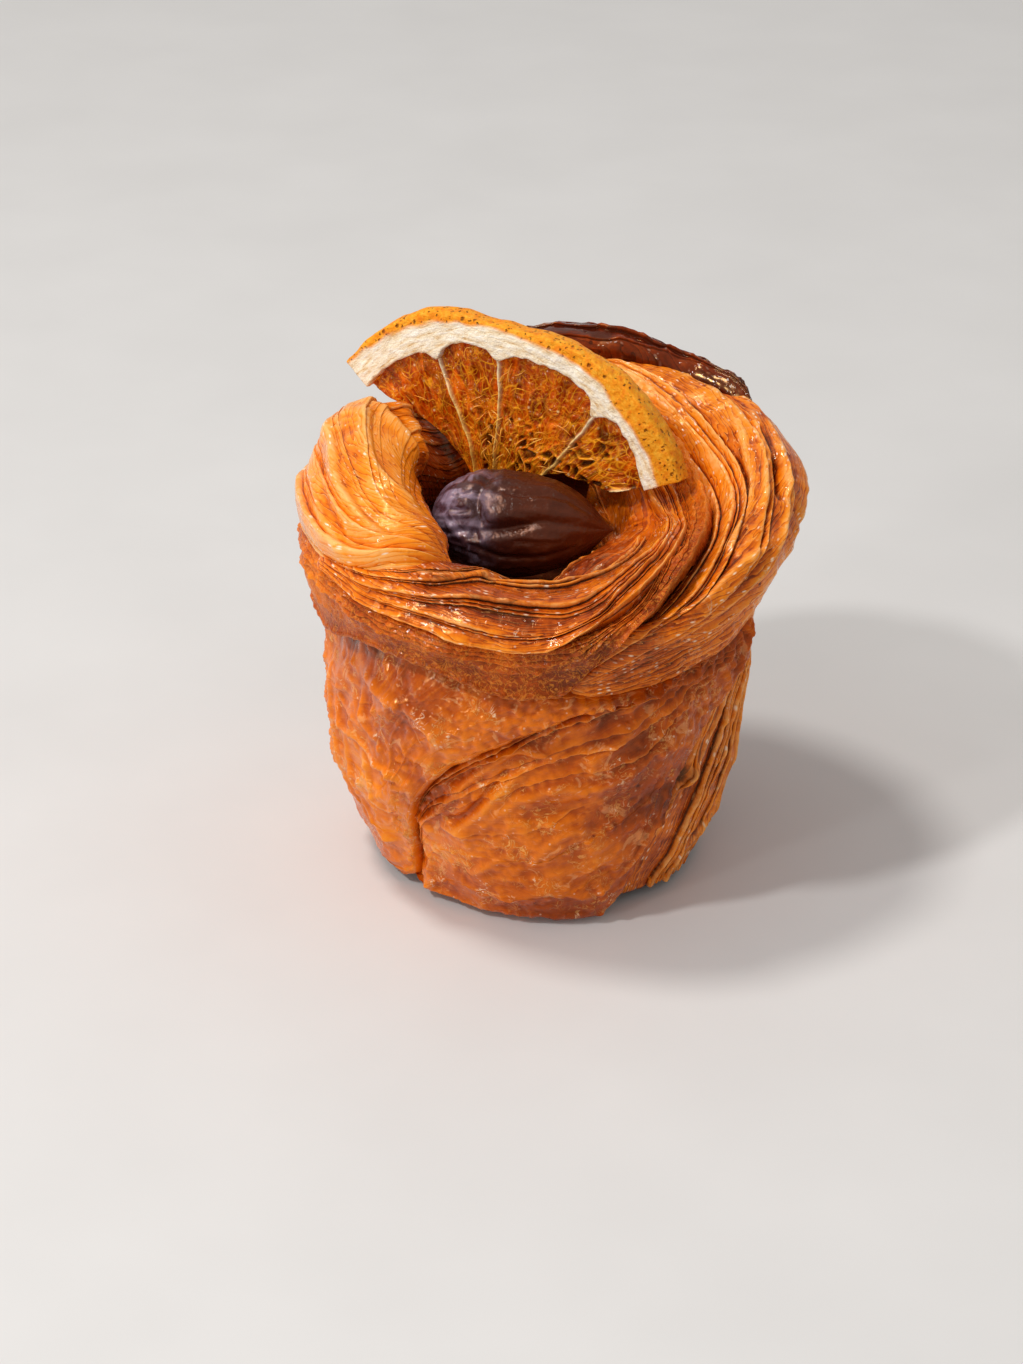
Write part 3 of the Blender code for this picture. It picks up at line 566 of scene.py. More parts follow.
def layer_columns(start, end, height, lean, count, roundness):
    """One layer's points across the strand: place, height, 1 on its crest, 1 on its very edge.

    A layer rises slowly from one side and ends in an edge that overhangs the groove.
    """
    q = np.linspace(0.0, 0.95, count) ** 1.1
    width = (end - start)[:, None]
    size = height[:, None]
    rise = q**roundness * (1 - np.exp(-q / 0.06))
    reach = np.minimum(size, 0.35 * width)
    body = start[:, None] + q * (width - 0.25 * reach)
    tip = [end[:, None] + reach * share for share in (-0.16, 0.06, 0.2, -0.1)]
    tip_height = [size * share for share in (1.0, 0.9, 0.5, 0.0)]
    place = np.concatenate([body] + tip, 1)
    high = np.concatenate([size * (rise - 0.25 * np.exp(-q / 0.06))] + tip_height, 1)
    strength = np.clip(size / 0.35, 0.0, 1.0)
    crest = np.concatenate([rise, [1.0, 1.0, 0.7, 0.0]]) - 0.5
    edge = np.concatenate([0 * rise, [0.5, 1.0, 0.8, 0.0]])
    found = [place, high, 0.5 + strength * crest, strength * edge]
    if lean < 0:
        found = [values[:, ::-1] for values in found]
        found[0] = (start + end)[:, None] - found[0]
    return found


def lip_columns(radius):
    """A rolled edge: how far in and how far down its points are, from under it to its top."""
    turn = np.radians(np.linspace(*LIP_TURNS, LIP_POINTS))
    inward = radius[:, None] * (1 - np.cos(turn))
    down = radius[:, None] * (np.sin(turn) - 1)
    inward = np.concatenate([radius[:, None] * 0.9, radius[:, None] * 0.6, inward], 1)
    down = np.concatenate([down[:, :1] * 0 - WALL_DEPTH, down[:, :1] * 0 - 0.6 * WALL_DEPTH, down], 1)
    return inward, down


def blister_relief(points, count, generator):
    """Height of small round bubbles at the points."""
    height = np.zeros(points.shape[:-1])
    flat = points.reshape(-1, 3)
    centres = flat[generator.integers(0, len(flat), count)]
    sizes = generator.uniform(*BLISTER_SIZES, count)
    for centre, size in zip(centres, sizes):
        near = np.abs(flat - centre).max(-1) < size
        away = ((flat[near] - centre) ** 2).sum(-1) / size**2
        height.reshape(-1)[near] += 0.22 * size * np.clip(1 - away, 0, 1) ** 1.5
    return height


def fold_relief(surface, normal, folds):
    """Height of the folds drawn on a strand, and how near each point is to a fold's crest, where a
    highlight is painted.
    """
    flat, up = surface.reshape(-1, 3), normal.reshape(-1, 3)
    height, edge = np.zeros(len(flat)), np.zeros(len(flat))
    for size, left_width, right_width, places in folds:
        line = spread_path(places, 12 * len(places))
        path = ring_surface(line[:, 0], line[:, 1])
        direction = unit(np.gradient(path, axis=0))
        reach = 2.5 * max(left_width, right_width) + 1.0
        inside = (flat > path.min(0) - reach) & (flat < path.max(0) + reach)
        near = np.flatnonzero(inside.all(-1))
        apart = flat[near][:, None] - path[None]
        nearest = (apart**2).sum(-1).argmin(1)
        apart = apart[np.arange(len(near)), nearest]
        distance = np.linalg.norm(apart, axis=-1)
        left = (np.cross(direction[nearest], apart) * up[near]).sum(-1) > 0
        width = np.where(left, left_width, right_width)
        ends = np.minimum(nearest, len(path) - 1 - nearest) / (0.2 * len(path))
        size = size * smoothstep(0.0, 1.0, ends) * (1 + 0.25 * noise(flat[near], 2.5, 12))
        height[near] += size * bell(distance / width)
        crest = np.clip(size, 0, 1) * bell(distance / FOLD_EDGE)
        edge[near] = np.maximum(edge[near], crest)
    return height.reshape(surface.shape[:-1]), edge.reshape(surface.shape[:-1])


def nearby_mean(values, reach):
    """Mean of a grid's values over a square of neighbours."""
    for axis in (0, 1):
        padded = np.pad(values, [(reach + 1, reach) if k == axis else (0, 0) for k in (0, 1)],
                        mode="edge")
        total = np.cumsum(padded, axis)
        size = values.shape[axis]
        last = np.take(total, np.arange(size) + 2 * reach + 1, axis)
        values = (last - np.take(total, np.arange(size), axis)) / (2 * reach + 1)
    return values


def toast_shade_and_highlight(angle, station):
    """How much darker or paler the crust is at each place: baked tone, painted shade and a painted
    highlight.
    """
    return sum(amount * patch(angle, station, *spot) for *spot, amount in TOAST_SHADE_AND_HIGHLIGHT)


def layer_edges(spec, along, inner, generator):
    """Where each layer ends across the strand, and its height, at every row."""
    if isinstance(spec["layers"], int):
        widths = np.exp(generator.normal(0.0, LAYER_SPREAD, spec["layers"]))
        heights = spec["layer_height"] * generator.uniform(0.5, 1.2, len(widths))
    else:
        widths, heights = np.array(spec["layers"], float).T
    seeds = 10 * np.arange(len(widths)) + generator.integers(0, 1000)
    shares = [w * np.exp(0.7 * wave(along, 22.0, k)) for w, k in zip(widths, seeds)]
    shares = np.array(shares) / np.sum(shares, 0)
    places = np.concatenate([[0 * along], np.cumsum(shares, 0)]) * inner
    for k, seed in enumerate(seeds[1:], 1):
        calm = smoothstep(0.0, 1.2, inner * shares[k])
        fray = 0.2 * wave(along, 2.2, seed + 1) + 0.14 * wave(along, 0.9, seed + 2)
        places[k] += spec["fray"] * calm * fray
    sizes = []
    for height, share, seed in zip(heights, shares, seeds):
        fade = 0.8 + 0.8 * wave(along, 17.0, seed + 3) + 0.2 * wave(along, 1.5, seed + 4)
        fade = np.clip(fade, 0.08, 1.4)
        sizes.append(np.minimum(height * fade, 0.5 * inner * share))
    return places, np.array(sizes)


def ridges(pattern, thinness=2.4):
    """Rounded ridges where a noise passes 0."""
    return np.clip(1 - np.abs(pattern) * thinness, 0, 1)


def skin_relief(surface, place, along, spec):
    """Uneven height of the baked skin: swells, veins, and fine grain along the strand."""
    drawn = np.stack([along[:, None] / 1.5 + 0 * place, place, surface[..., 2] / 3.0], -1)
    grain = np.stack([along[:, None] / 6.0 + 0 * place, place, 0 * place], -1)
    height = spec["lumps"] * (noise(surface, 11.0, 2) + 0.5 * noise(surface, 4.5, 3))
    vein = ridges(noise(drawn, 4.6, 4)) ** 1.5 + 0.4 * ridges(noise(surface, 2.2, 5))
    height += spec["veins"] * vein
    height += spec["dimples"] * noise(surface, 2.1, 14)
    worms = ridges(noise(surface, 1.5, 6), 2.2)
    height += spec["grain"] * (noise(grain, 0.9, 7) + 1.2 * worms)
    return height


def between(rows, share):
    """Angles and stations at shares of the way from the lower edge to the upper one."""
    angle = rows[:, :1] + share * (rows[:, 2:3] - rows[:, :1])
    station = rows[:, 1:2] + share * (rows[:, 3:4] - rows[:, 1:2])
    return angle, station


def strand_section(spec, along, width, generator):
    """The points across a strand at every row: place, height, crest and edge."""
    low_lip = np.minimum(spec["lips"][0], 0.3 * width)
    high_lip = np.minimum(spec["lips"][1], 0.3 * width)
    edges, sizes = layer_edges(spec, along, width - low_lip - high_lip, generator)
    edges += low_lip
    inward, down = lip_columns(low_lip)
    shade = np.broadcast_to(np.linspace(0.3, 0.5, inward.shape[1]), inward.shape)
    # rim: a painted highlight along the lower edge, carried with the edge values.
    rim = spec["rim"] * bell(inward / RIM_REACH) * (down > -WALL_DEPTH * 0.5)
    columns = [(inward, down, shade, rim)]
    for start, end, size in zip(edges, edges[1:], sizes):
        many = int(np.clip((end - start).max() / ACROSS_STEP, 4, 70))
        roundness = generator.uniform(0.6, 1.5)
        columns.append(layer_columns(start, end, size, spec["lean"], many, roundness))
    inward, down = lip_columns(high_lip)
    columns.append((width[:, None] - inward[:, ::-1], down[:, ::-1], shade[:, ::-1], 0 * inward))
    return [np.concatenate(values, 1) for values in zip(*columns)]


def raised(height, place, width):
    """How far each point stands out from its surroundings, 0 at the strand's edges."""
    relief = 0.6 * np.clip((height - nearby_mean(height, 2)) / 0.16, -1, 1)
    relief += 0.5 * np.clip((height - nearby_mean(height, 7)) / 0.6, -1, 1)
    return relief * smoothstep(0.0, 1.5, np.minimum(place, width[:, None] - place))


def build_strand(name, spec, generator):
    """A closed body laid along the ring surface between its two edges."""
    rows, along = even_rows(spec["rows"])
    rows[:, 1] += spec["ragged"] * (0.035 * wave(along, 3.0, 91) + 0.02 * wave(along, 1.0, 92))
    share = np.linspace(0, 1, 25)
    steps = np.linalg.norm(np.diff(ring_surface(*between(rows, share)), axis=1), axis=-1)
    travelled = np.concatenate([np.zeros((len(rows), 1)), np.cumsum(steps, 1)], 1)
    width = travelled[:, -1]
    place, height, crest, edge = strand_section(spec, along, width, generator)
    part = np.stack([np.interp(p, far, share) for p, far in zip(place, travelled)])
    angle, station = between(rows, part)
    surface = ring_surface(angle, station)
    normal = ring_normal(angle, np.clip(station, 1.15, len(RINGS) - 1.2))
    folds, fold_edge = fold_relief(surface, normal, FOLDS.get(name, ()))

    low_edge, high_edge = spec["edges"]
    height = height + spec["base"] + spec["crown"] * 4 * part * (1 - part)
    height = height + low_edge * (1 - part) ** 3 + high_edge * part**3
    height += spec["flare"] * bell(place / FLARE_REACH)
    height += skin_relief(surface, place, along, spec)
    height += folds
    if spec["blisters"]:
        height += blister_relief(surface, spec["blisters"], generator)
    relief = raised(height, place, width)
    deep = smoothstep(-0.8, -2.6, height)
    ends = np.minimum(along, along[-1] - along)
    height -= END_DIVE * smoothstep(END_LENGTH, 0.0, ends)[:, None] ** 2
    points = surface + (height - STRAND_SINK)[..., None] * normal
    points[..., 2] = np.maximum(points[..., 2], 0.0)

    toast = 0.12 * noise(surface, 11.0, 8) + 0.08 * noise(surface, 4.0, 9)
    toast = spec["toast"] + (1.2 - 0.3 * spec["lined"]) * toast
    # Painted shade darkens the deepest creases; the patches add baked tone, painted shade and a painted
    # highlight.
    toast = toast + toast_shade_and_highlight(angle, station) + CREASE_SHADE * deep
    # Painted shade towards the upper edge, where the strand tucks under the next one; the edge gets duller
    # there too.
    tuck_shade = spec["tuck_shade"] * bell((width[:, None] - place) / TUCK_REACH)
    attributes = {
        # relief: how far a point stands out; the material paints light on raised places and shade in low
        # ones.
        "relief": 0.5 * relief + 0.5 * (crest - 0.5),
        # edge: where a painted highlight goes, on the layers' edges and along the folds' crests.
        "edge": np.maximum(edge, fold_edge * min(1.0, 1.4 * spec["lined"])),
        # toast: baked tone, with the painted shade added.
        "toast": toast + tuck_shade,
        "along": along[:, None] + 0 * place + generator.uniform(0, 500),
        "across": spec["lean"] * place,
        "gloss": spec["gloss"] + 0.35 * noise(surface, 6.0, 13) - TUCK_DULLNESS * tuck_shade,
    }
    attributes.update({key: spec[key] + 0 * place for key in ("lined", "curls", "contrast")})
    faces = grid_faces(*place.shape, close_columns=True)
    return make_mesh(name, points, faces[:, ::-1], end_caps(*place.shape), attributes)


def build_core():
    """The body under the strands, seen only in the creases, where it is coloured very dark as painted
    shade.
    """
    stations = np.linspace(0.0, len(RINGS) - 1.0, 90)[1:-1]
    angle, station = np.meshgrid(np.arange(0, 360, 3.0), stations, indexing="ij")
    normal = ring_normal(angle, np.clip(station, 1.15, len(RINGS) - 1.2))
    sink = CORE_SINK * smoothstep(0.3, 1.0, station)
    points = ring_surface(angle, station) - sink[..., None] * normal
    points[..., 2] = np.maximum(points[..., 2], 0.15)
    rows, columns = angle.shape
    faces = grid_faces(rows, columns, close_rows=True)
    caps = (np.arange(rows)[::-1] * columns, np.arange(rows) * columns + columns - 1)
    return make_mesh("core", points, faces, caps, {"toast": 0 * angle + CORE_SHADE})


# ---- the dried fruit ----


def round_place(length, radius, turn):
    return np.stack([length, radius * np.cos(turn), radius * np.sin(turn)], -1)


def fruit_radius(share):
    """Radius along the fruit, from its big round end at 0 to its point at 1."""
    thickest = FRUIT_BIG_END_SHARE
    back = np.clip((thickest - share) / thickest, 0.0, 1.0)
    round_end = (1 - back**2.3) ** 0.46
    along = np.clip((share - thickest) / (1 - thickest), 0.0, 1.0)
    pointed_end = (1 - along**2.8) * np.sqrt(1 - along**8)
    return FRUIT_RADIUS * np.where(share < thickest, round_end, pointed_end)


def fruit_creases(share, turn):
    """Depth of the creases at each place of the fruit's skin."""
    depth = np.zeros(share.shape)
    flat = np.stack([FRUIT_LENGTH * share, FRUIT_RADIUS * turn], -1)
    for size, width, places in FRUIT_CREASES:
        line = spread_path(places, 40)
        line = line * (FRUIT_LENGTH, FRUIT_RADIUS * math.pi / 180.0)
        for lap in (0.0, 2 * math.pi * FRUIT_RADIUS):
            apart = flat[:, :, None] - (line + (0.0, lap))
            away = (apart**2).sum(-1).min(-1)
            wobble = 1 + 0.3 * noise(np.stack([flat[..., 0], flat[..., 1], away * 0], -1), 3.0, 5)
            depth = np.maximum(depth, size * wobble * np.exp(-away / width**2))
    return depth


def build_fruit():
    big_end, point = np.array(FRUIT_BIG_END), np.array(FRUIT_POINT)
    along = unit(point - big_end)
    side = unit(np.cross(along, (0.0, 0.0, 1.0)))
    up = np.cross(side, along)
    rows, columns = 170, 160
    share = (1 - np.cos(np.linspace(0.02, np.pi - 0.02, rows))) / 2
    turn = np.linspace(0, 2 * np.pi, columns, endpoint=False)
    share, turn = np.meshgrid(share, turn, indexing="ij")
    radius = fruit_radius(share)
    ends = np.clip(radius / FRUIT_RADIUS, 0.0, 1.0)
    skin = round_place(FRUIT_LENGTH * share, 9.0, turn)
    drawn = round_place(FRUIT_LENGTH * share / 2.6, 6.0, turn)
    fine = round_place(FRUIT_LENGTH * share / 1.8, 9.0, turn)
    relief = 0.45 * noise(skin, 6.0, 4) - 0.25 * np.abs(noise(drawn, 1.8, 1)) ** 0.8
    tight = smoothstep(0.45, 0.1, share)
    relief -= (0.40 + 0.42 * tight) * np.abs(noise(fine, 1.5, 3)) ** 0.7
    relief -= fruit_creases(share, turn)
    radius += ends * relief
    across = (radius * np.cos(turn))[..., None] * side
    above = (radius * FRUIT_FLATTEN * np.sin(turn))[..., None] * up
    stretched = 0.5 + (share - 0.5) * FRUIT_STRETCH
    points = big_end + stretched[..., None] * (point - big_end) + across + above
    faces = grid_faces(rows, columns, close_columns=True)
    return make_mesh("fruit_skin", points, faces, end_caps(rows, columns), {"along": share})


# ---- the orange slice ----


def slice_axes():
    """Right, up and facing directions of the leaning, turned wheel."""
    yaw, lean = math.radians(SLICE_YAW), math.radians(SLICE_LEAN)
    facing = (-math.sin(yaw) * math.cos(lean), -math.cos(yaw) * math.cos(lean), math.sin(lean))
    right = np.array([math.cos(yaw), -math.sin(yaw), 0.0])
    facing = np.array(facing)
    return right, np.cross(facing, right), facing


def on_slice(radius, turn, depth):
    """A point of the slice from its polar place, depth 0 at the front face."""
    right, up, facing = slice_axes()
    turn = np.radians(turn)
    flat = (radius * np.cos(turn))[..., None] * right + (radius * np.sin(turn))[..., None] * up
    return np.array(SLICE_CENTRE) + flat - np.asarray(depth)[..., None] * facing


def build_rind():
    """The band of peel and pith: a closed loop of points carried round the wheel."""
    steps = 300
    turn = np.linspace(*SLICE_ENDS, steps)
    outer = profile(SLICE_OUTER, turn)
    inner = profile(PITH_INNER, turn) + 0.25 * wave(turn, 2.0, 3)
    # The loop runs out over the front, round the peel, in over the back and to the front again.
    out, home = np.linspace(0, 1, 16), np.linspace(1, 0, 6)[1:-1]
    bulge = np.linspace(0, np.pi, 14)[1:-1]
    across = np.concatenate([out, 1.0 + 0.10 * np.sin(bulge), np.linspace(1, 0, 16), 0 * home])
    depth = np.concatenate([0 * out, (1 - np.cos(bulge)) / 2, 0 * out + 1, home])
    radius = inner[:, None] + across * (outer - 0.5 - inner)[:, None]
    depth = 0.1 + depth * (SLICE_THICKNESS - 0.2) + 0 * radius
    turned = turn[:, None] + 0 * radius
    points = on_slice(radius, turned, depth)
    lumps = 0.3 * noise(points, 3.5, 5) + 0.12 * noise(points, 1.2, 6)
    centre = on_slice(0.5 * (inner + outer), turn, SLICE_THICKNESS / 2 + 0 * turn)[:, None]
    outward = unit(points - centre)
    points += lumps[..., None] * outward
    boundary = profile(PEEL_INNER, turn)[:, None] + 0.35 * noise(points, 2.0, 8)
    peel = smoothstep(-0.35, 0.35, radius - boundary)
    olive = smoothstep(60.0, 28.0, turned)
    faces = grid_faces(steps, len(across), close_columns=True)
    caps = end_caps(steps, len(across))
    attributes = {"peel": peel, "olive": olive, "turn": turned, "radius": radius}
    return make_mesh("rind", points, faces, caps, attributes)


def net(flat, spacing, generator):
    """Distance from the lines of an uneven net, and a number of its own for each mesh of it."""
    low, high = flat.min((0, 1)), flat.max((0, 1))
    count = int(np.prod((high - low) / spacing))
    seeds = generator.uniform(low, high, (count, 2))
    lines, number = [], []
    for row in flat:
        apart = np.hypot(*(row[:, None] - seeds[None]).transpose(2, 0, 1))
        nearest = apart.argmin(1)
        two = np.partition(apart, 1, axis=1)
        lines.append(two[:, 1] - two[:, 0])
        number.append(nearest)
    chance = generator.uniform(0.0, 1.0, count)
    return np.array(lines), chance[np.array(number)]


def sector_walls(radius, turn):
    """1 on the walls between the sectors, 0 beside them."""
    wall = np.zeros_like(radius)
    for outside, inside in SECTOR_WALLS:
        place = outside + (inside - outside) * (31.0 - radius) / 20.0
        away = radius * np.radians(turn - place) + 0.5 * wave(radius, 5.0, int(outside))
        away += 0.15 * wave(radius, 1.2, int(outside) + 1)
        wall = np.maximum(wall, bell(away / WALL_WIDTH))
    return wall


def sheet_faces(rows, columns):
    """Faces of a closed sheet: its front grid, its back grid and the border between them."""
    front = grid_faces(rows, columns)
    total = rows * columns
    border = np.concatenate([
        np.arange(columns), np.arange(1, rows) * columns + columns - 1,
        np.arange(columns - 2, -1, -1) + (rows - 1) * columns,
        np.arange(rows - 2, 0, -1) * columns,
    ])
    after = np.roll(border, -1)
    sides = np.stack([border, after, after + total, border + total], -1)
    return np.concatenate([front, front[:, ::-1] + total, sides[:, ::-1]])


def build_pulp():
    """The dried flesh: a thin rough sheet with raised walls between its sectors."""
    rows, columns = 110, 280
    across, round_share = np.meshgrid(np.linspace(0, 1, rows), np.linspace(0, 1, columns),
                                      indexing="ij")
    radius = PULP_INNER + across * 23.2
    turn = profile(SLICE_RIGHT_END, radius) * (1 - round_share)
    turn += profile(SLICE_LEFT_END, radius) * round_share
    outer = profile(PITH_INNER, turn) + 0.5
    radius = PULP_INNER + across * (outer - PULP_INNER)
    # Places in the wheel's plane, straight and as radius against turn.
    flat = round_place(0 * radius, radius, np.radians(turn))[..., (1, 2, 0)]
    sweep = SWEEP_SCALE * np.radians(turn)
    bend = np.stack([noise(flat, 3.0, 31), noise(flat, 3.0, 32)], -1)
    bend += 0.15 * np.stack([noise(flat, 1.2, 33), noise(flat, 1.2, 34)], -1)
    torn = smoothstep(25.0, 16.0, radius) * smoothstep(125.0, 90.0, turn)
    torn = np.maximum(torn, smoothstep(60.0, 45.0, turn) * smoothstep(32.0, 26.0, radius))
    generator = np.random.default_rng(19)
    long_net, tone = net(np.stack([radius / 3.0, sweep], -1) + 0.9 * bend, 1.9, generator)
    fine_net, _ = net(flat[..., :2] + 0.9 * bend, 1.9, generator)
    thread = bell(long_net / 0.22) * smoothstep(-0.5, 0.4, noise(flat, 2.0, 1))
    thread = thread * (1 - 0.5 * torn)
    fine = bell(fine_net / 0.3) * torn
    # Pits are pushed back into the sheet and painted dark as shade inside them.
    pit = smoothstep(0.35, 0.8, fine_net) * smoothstep(0.0, 0.3, noise(flat, 3.0, 3)) * torn
    relief = -0.12 * thread - 0.15 * fine + 0.5 * noise(flat, 3.0, 4) + 1.1 * pit
    relief += 0.25 * (tone - 0.5)
    wall = sector_walls(radius, turn)
    relief -= 0.8 * wall
    fibre = np.maximum(thread * 0.9, fine)
    front = on_slice(radius, turn, PULP_FRONT + relief)
    back = on_slice(radius, turn, PULP_BACK - 0.6 * relief)
    points = np.concatenate([front.reshape(-1, 3), back.reshape(-1, 3)])
    attributes = {
        "wall": wall, "fibre": fibre, "pit": pit, "near_pith": across, "tone": tone,
        "net_x": radius / 2.0 + 0.7 * bend[..., 0], "torn": torn,
        "net_y": sweep + 0.7 * bend[..., 1],
    }
    attributes = {key: np.tile(values.ravel(), 2) for key, values in attributes.items()}
    faces = sheet_faces(rows, columns)
    return make_mesh("pulp", points, faces[:, ::-1], (), attributes)


def tube_points(path, radii, sides):
    """Rings of points round a path."""
    direction = unit(np.gradient(path, axis=0))
    _, _, facing = slice_axes()
    across = unit(np.cross(direction, facing))
    other = np.cross(direction, across)
    turn = np.linspace(0, 2 * np.pi, sides, endpoint=False)
    ring = np.cos(turn)[None, :, None] * across[:, None]
    ring += np.sin(turn)[None, :, None] * other[:, None]
    return path[:, None] + radii[:, None, None] * ring


def build_fibres(generator):
    """Thin curled threads of dried flesh, thickest where the slice is torn."""
    points, faces, ends = [], [], []
    steps, sides = 14, 5
    for number in range(FIBRE_COUNT):
        first = number * steps * sides
        low = number % 3 != 0
        radius = generator.uniform(11.0, 19.0) if low else generator.uniform(18.0, 30.0)
        right, left = profile(SLICE_RIGHT_END, radius), profile(SLICE_LEFT_END, radius)
        turn = right + (left - right) * generator.uniform(0.02, 0.75 if low else 0.95)
        heading = generator.uniform(-0.9, 0.9) + (0.0 if low else 0.3 * generator.normal())
        bend = generator.normal(0.0, 0.35)
        length = generator.uniform(1.5, 4.0)
        headings = heading + bend * np.linspace(-1, 1, steps) * 2
        radii = radius + np.cumsum(np.cos(headings)) * length / steps
        turns = turn + np.degrees(np.cumsum(np.sin(headings)) * length / steps / radius)
        lift = 0.9 - 0.5 * np.sin(np.linspace(0, np.pi, steps)) * generator.uniform(0.3, 1.0)
        path = on_slice(np.clip(radii, 8.0, 31.0), turns, lift + 0.3)
        thickness = generator.uniform(0.07, 0.12) * np.sin(np.linspace(0.25, np.pi - 0.25, steps))
        points.append(tube_points(path, thickness, sides).reshape(-1, 3))
        faces.append(grid_faces(steps, sides, close_columns=True) + first)
        ends += end_caps(steps, sides, first)
    return make_mesh("fibres", np.concatenate(points), np.concatenate(faces), ends)


# ---- materials ----


class Value:
    """A number worked out by a material's nodes. Each operation on it adds a Math node."""

    def __init__(self, nodes, socket):
        self.nodes, self.socket = nodes, socket

    def __mul__(self, other):
        return self.nodes.math("MULTIPLY", self, other)

    def __sub__(self, other):
        return self.nodes.math("SUBTRACT", self, other)

    def __rsub__(self, other):
        return self.nodes.math("SUBTRACT", other, self)

    def line(self, slope, start):
        """The number times slope, plus start."""
        return self.nodes.math("MULTIPLY_ADD", self, slope, start)

    def at_least(self, low):
        return self.nodes.math("MAXIMUM", self, low)

    def at_most(self, high):
        return self.nodes.math("MINIMUM", self, high)

    def clamped(self):
        return self.at_least(0.0).at_most(1.0)

    def threads(self, thinness):
        """Lines where a pattern passes its middle value: 1 on them, 0 beside them."""
        away = self.nodes.math("ABSOLUTE", self - 0.5)
        return away.line(-thinness, 1.0).at_least(0.0)


def summed(total, patterns):
    """The total with each (pattern, amount) added to it."""
    for pattern, amount in patterns:
        total = pattern.line(amount, total)
    return total


class Nodes:
    """Short ways to add and link shader nodes in one material."""

    def __init__(self, name):
        self.material = bpy.data.materials.new(name)
        self.material.use_nodes = True
        self.tree = self.material.node_tree
        self.shader = self.tree.nodes["Principled BSDF"]

    def add(self, kind, inputs=None, **settings):
        node = self.tree.nodes.new(kind)
        for key, value in settings.items():
            setattr(node, key, value)
        for key, value in (inputs or {}).items():
            self.put(node.inputs[key], value)
        return node

    def put(self, socket, value):
        value = value.socket if isinstance(value, Value) else value
        if isinstance(value, bpy.types.NodeSocket):
            self.tree.links.new(value, socket)
        else:
            socket.default_value = value

    def math(self, operation, *numbers):
        node = self.add("ShaderNodeMath", dict(enumerate(numbers)), operation=operation)
        return Value(self, node.outputs[0])

    def value(self, name):
        """A number stored with the mesh."""
        node = self.add("ShaderNodeAttribute", attribute_name=name)
        return Value(self, node.outputs["Fac"])

    def place(self):
        return self.add("ShaderNodeTexCoord").outputs["Object"]

    def vector(self, x, y, z=0.0):
        return self.add("ShaderNodeCombineXYZ", {"X": x, "Y": y, "Z": z}).outputs[0]

    def noise(self, scale, detail=3.0, roughness=0.5, distortion=0.0, vector=None):
        inputs = {"Scale": scale, "Detail": detail, "Roughness": roughness, "Distortion": distortion}
        inputs["Vector"] = self.place() if vector is None else vector
        return Value(self, self.add("ShaderNodeTexNoise", inputs).outputs["Fac"])

    def spots(self, vector, scale, size, share):
        """Round soft spots: 1 in the middle of some cells, 0 from size outwards."""
        cells = self.add("ShaderNodeTexVoronoi", {"Vector": vector, "Scale": scale})
        spot = Value(self, cells.outputs["Distance"]).line(-1.0 / size, 1.0)
        colour = self.add("ShaderNodeSeparateColor", {"Color": cells.outputs["Color"]})
        chosen = self.math("GREATER_THAN", colour.outputs[0], 1.0 - share)
        return spot.at_least(0.0) * chosen

    def cell_walls(self, vector, scale, thinness):
        """Lines between the cells of an uneven net: 1 on them, 0 beside them."""
        inputs = {"Vector": vector, "Scale": scale}
        cells = self.add("ShaderNodeTexVoronoi", inputs, feature="DISTANCE_TO_EDGE")
        return Value(self, cells.outputs["Distance"]).line(-thinness, 1.0).at_least(0.0)

    def ramp(self, factor, stops):
        node = self.add("ShaderNodeValToRGB", {"Fac": factor})
        elements = node.color_ramp.elements
        while len(elements) < len(stops):
            elements.new(0.5)
        for element, (position, colour) in zip(elements, stops):
            element.position = position
            element.color = (*colour, 1.0)
        return node.outputs["Color"]

    def mix(self, factor, a, b):
        node = self.add("ShaderNodeMix", data_type="RGBA")
        self.put(node.inputs["Factor"], factor)
        for key, value in (("A", a), ("B", b)):
            socket = [s for s in node.inputs if s.name == key and s.type == "RGBA"][0]
            self.put(socket, (*value, 1.0) if isinstance(value, tuple) else value)
        return [s for s in node.outputs if s.type == "RGBA"][0]

    def set(self, **values):
        for key, value in values.items():
            self.put(self.shader.inputs[key.replace("_", " ")], value)

    def bump(self, height, strength, distance, socket="Normal"):
        inputs = {"Height": height, "Strength": strength, "Distance": distance}
        self.put(self.shader.inputs[socket], self.add("ShaderNodeBump", inputs).outputs["Normal"])


# Colours, as (red, green, blue) or as (place on a ramp, colour).
CRUST_COLOURS = (
    (0.0, (1.0, 0.46, 0.12)), (0.2, (0.97, 0.29, 0.012)), (0.4, (0.79, 0.166, 0.002)),
    (0.6, (0.46, 0.064, 0.002)), (0.8, (0.19, 0.018, 0.001)), (1.0, (0.07, 0.006, 0.001)),
)
EDGE_HIGHLIGHT = (1.0, 0.36, 0.05)
WRINKLE_HIGHLIGHT = (1.0, 0.50, 0.13)
PALE_CURL = (0.85, 0.27, 0.03)
SHEEN_PATCH_COLOUR = (1.0, 0.50, 0.20)
LIP_HIGHLIGHT = (1.0, 0.52, 0.17)
GLINT = (1.0, 0.80, 0.58)
CRUST_SHINE = (1.0, 0.58, 0.22, 1.0)
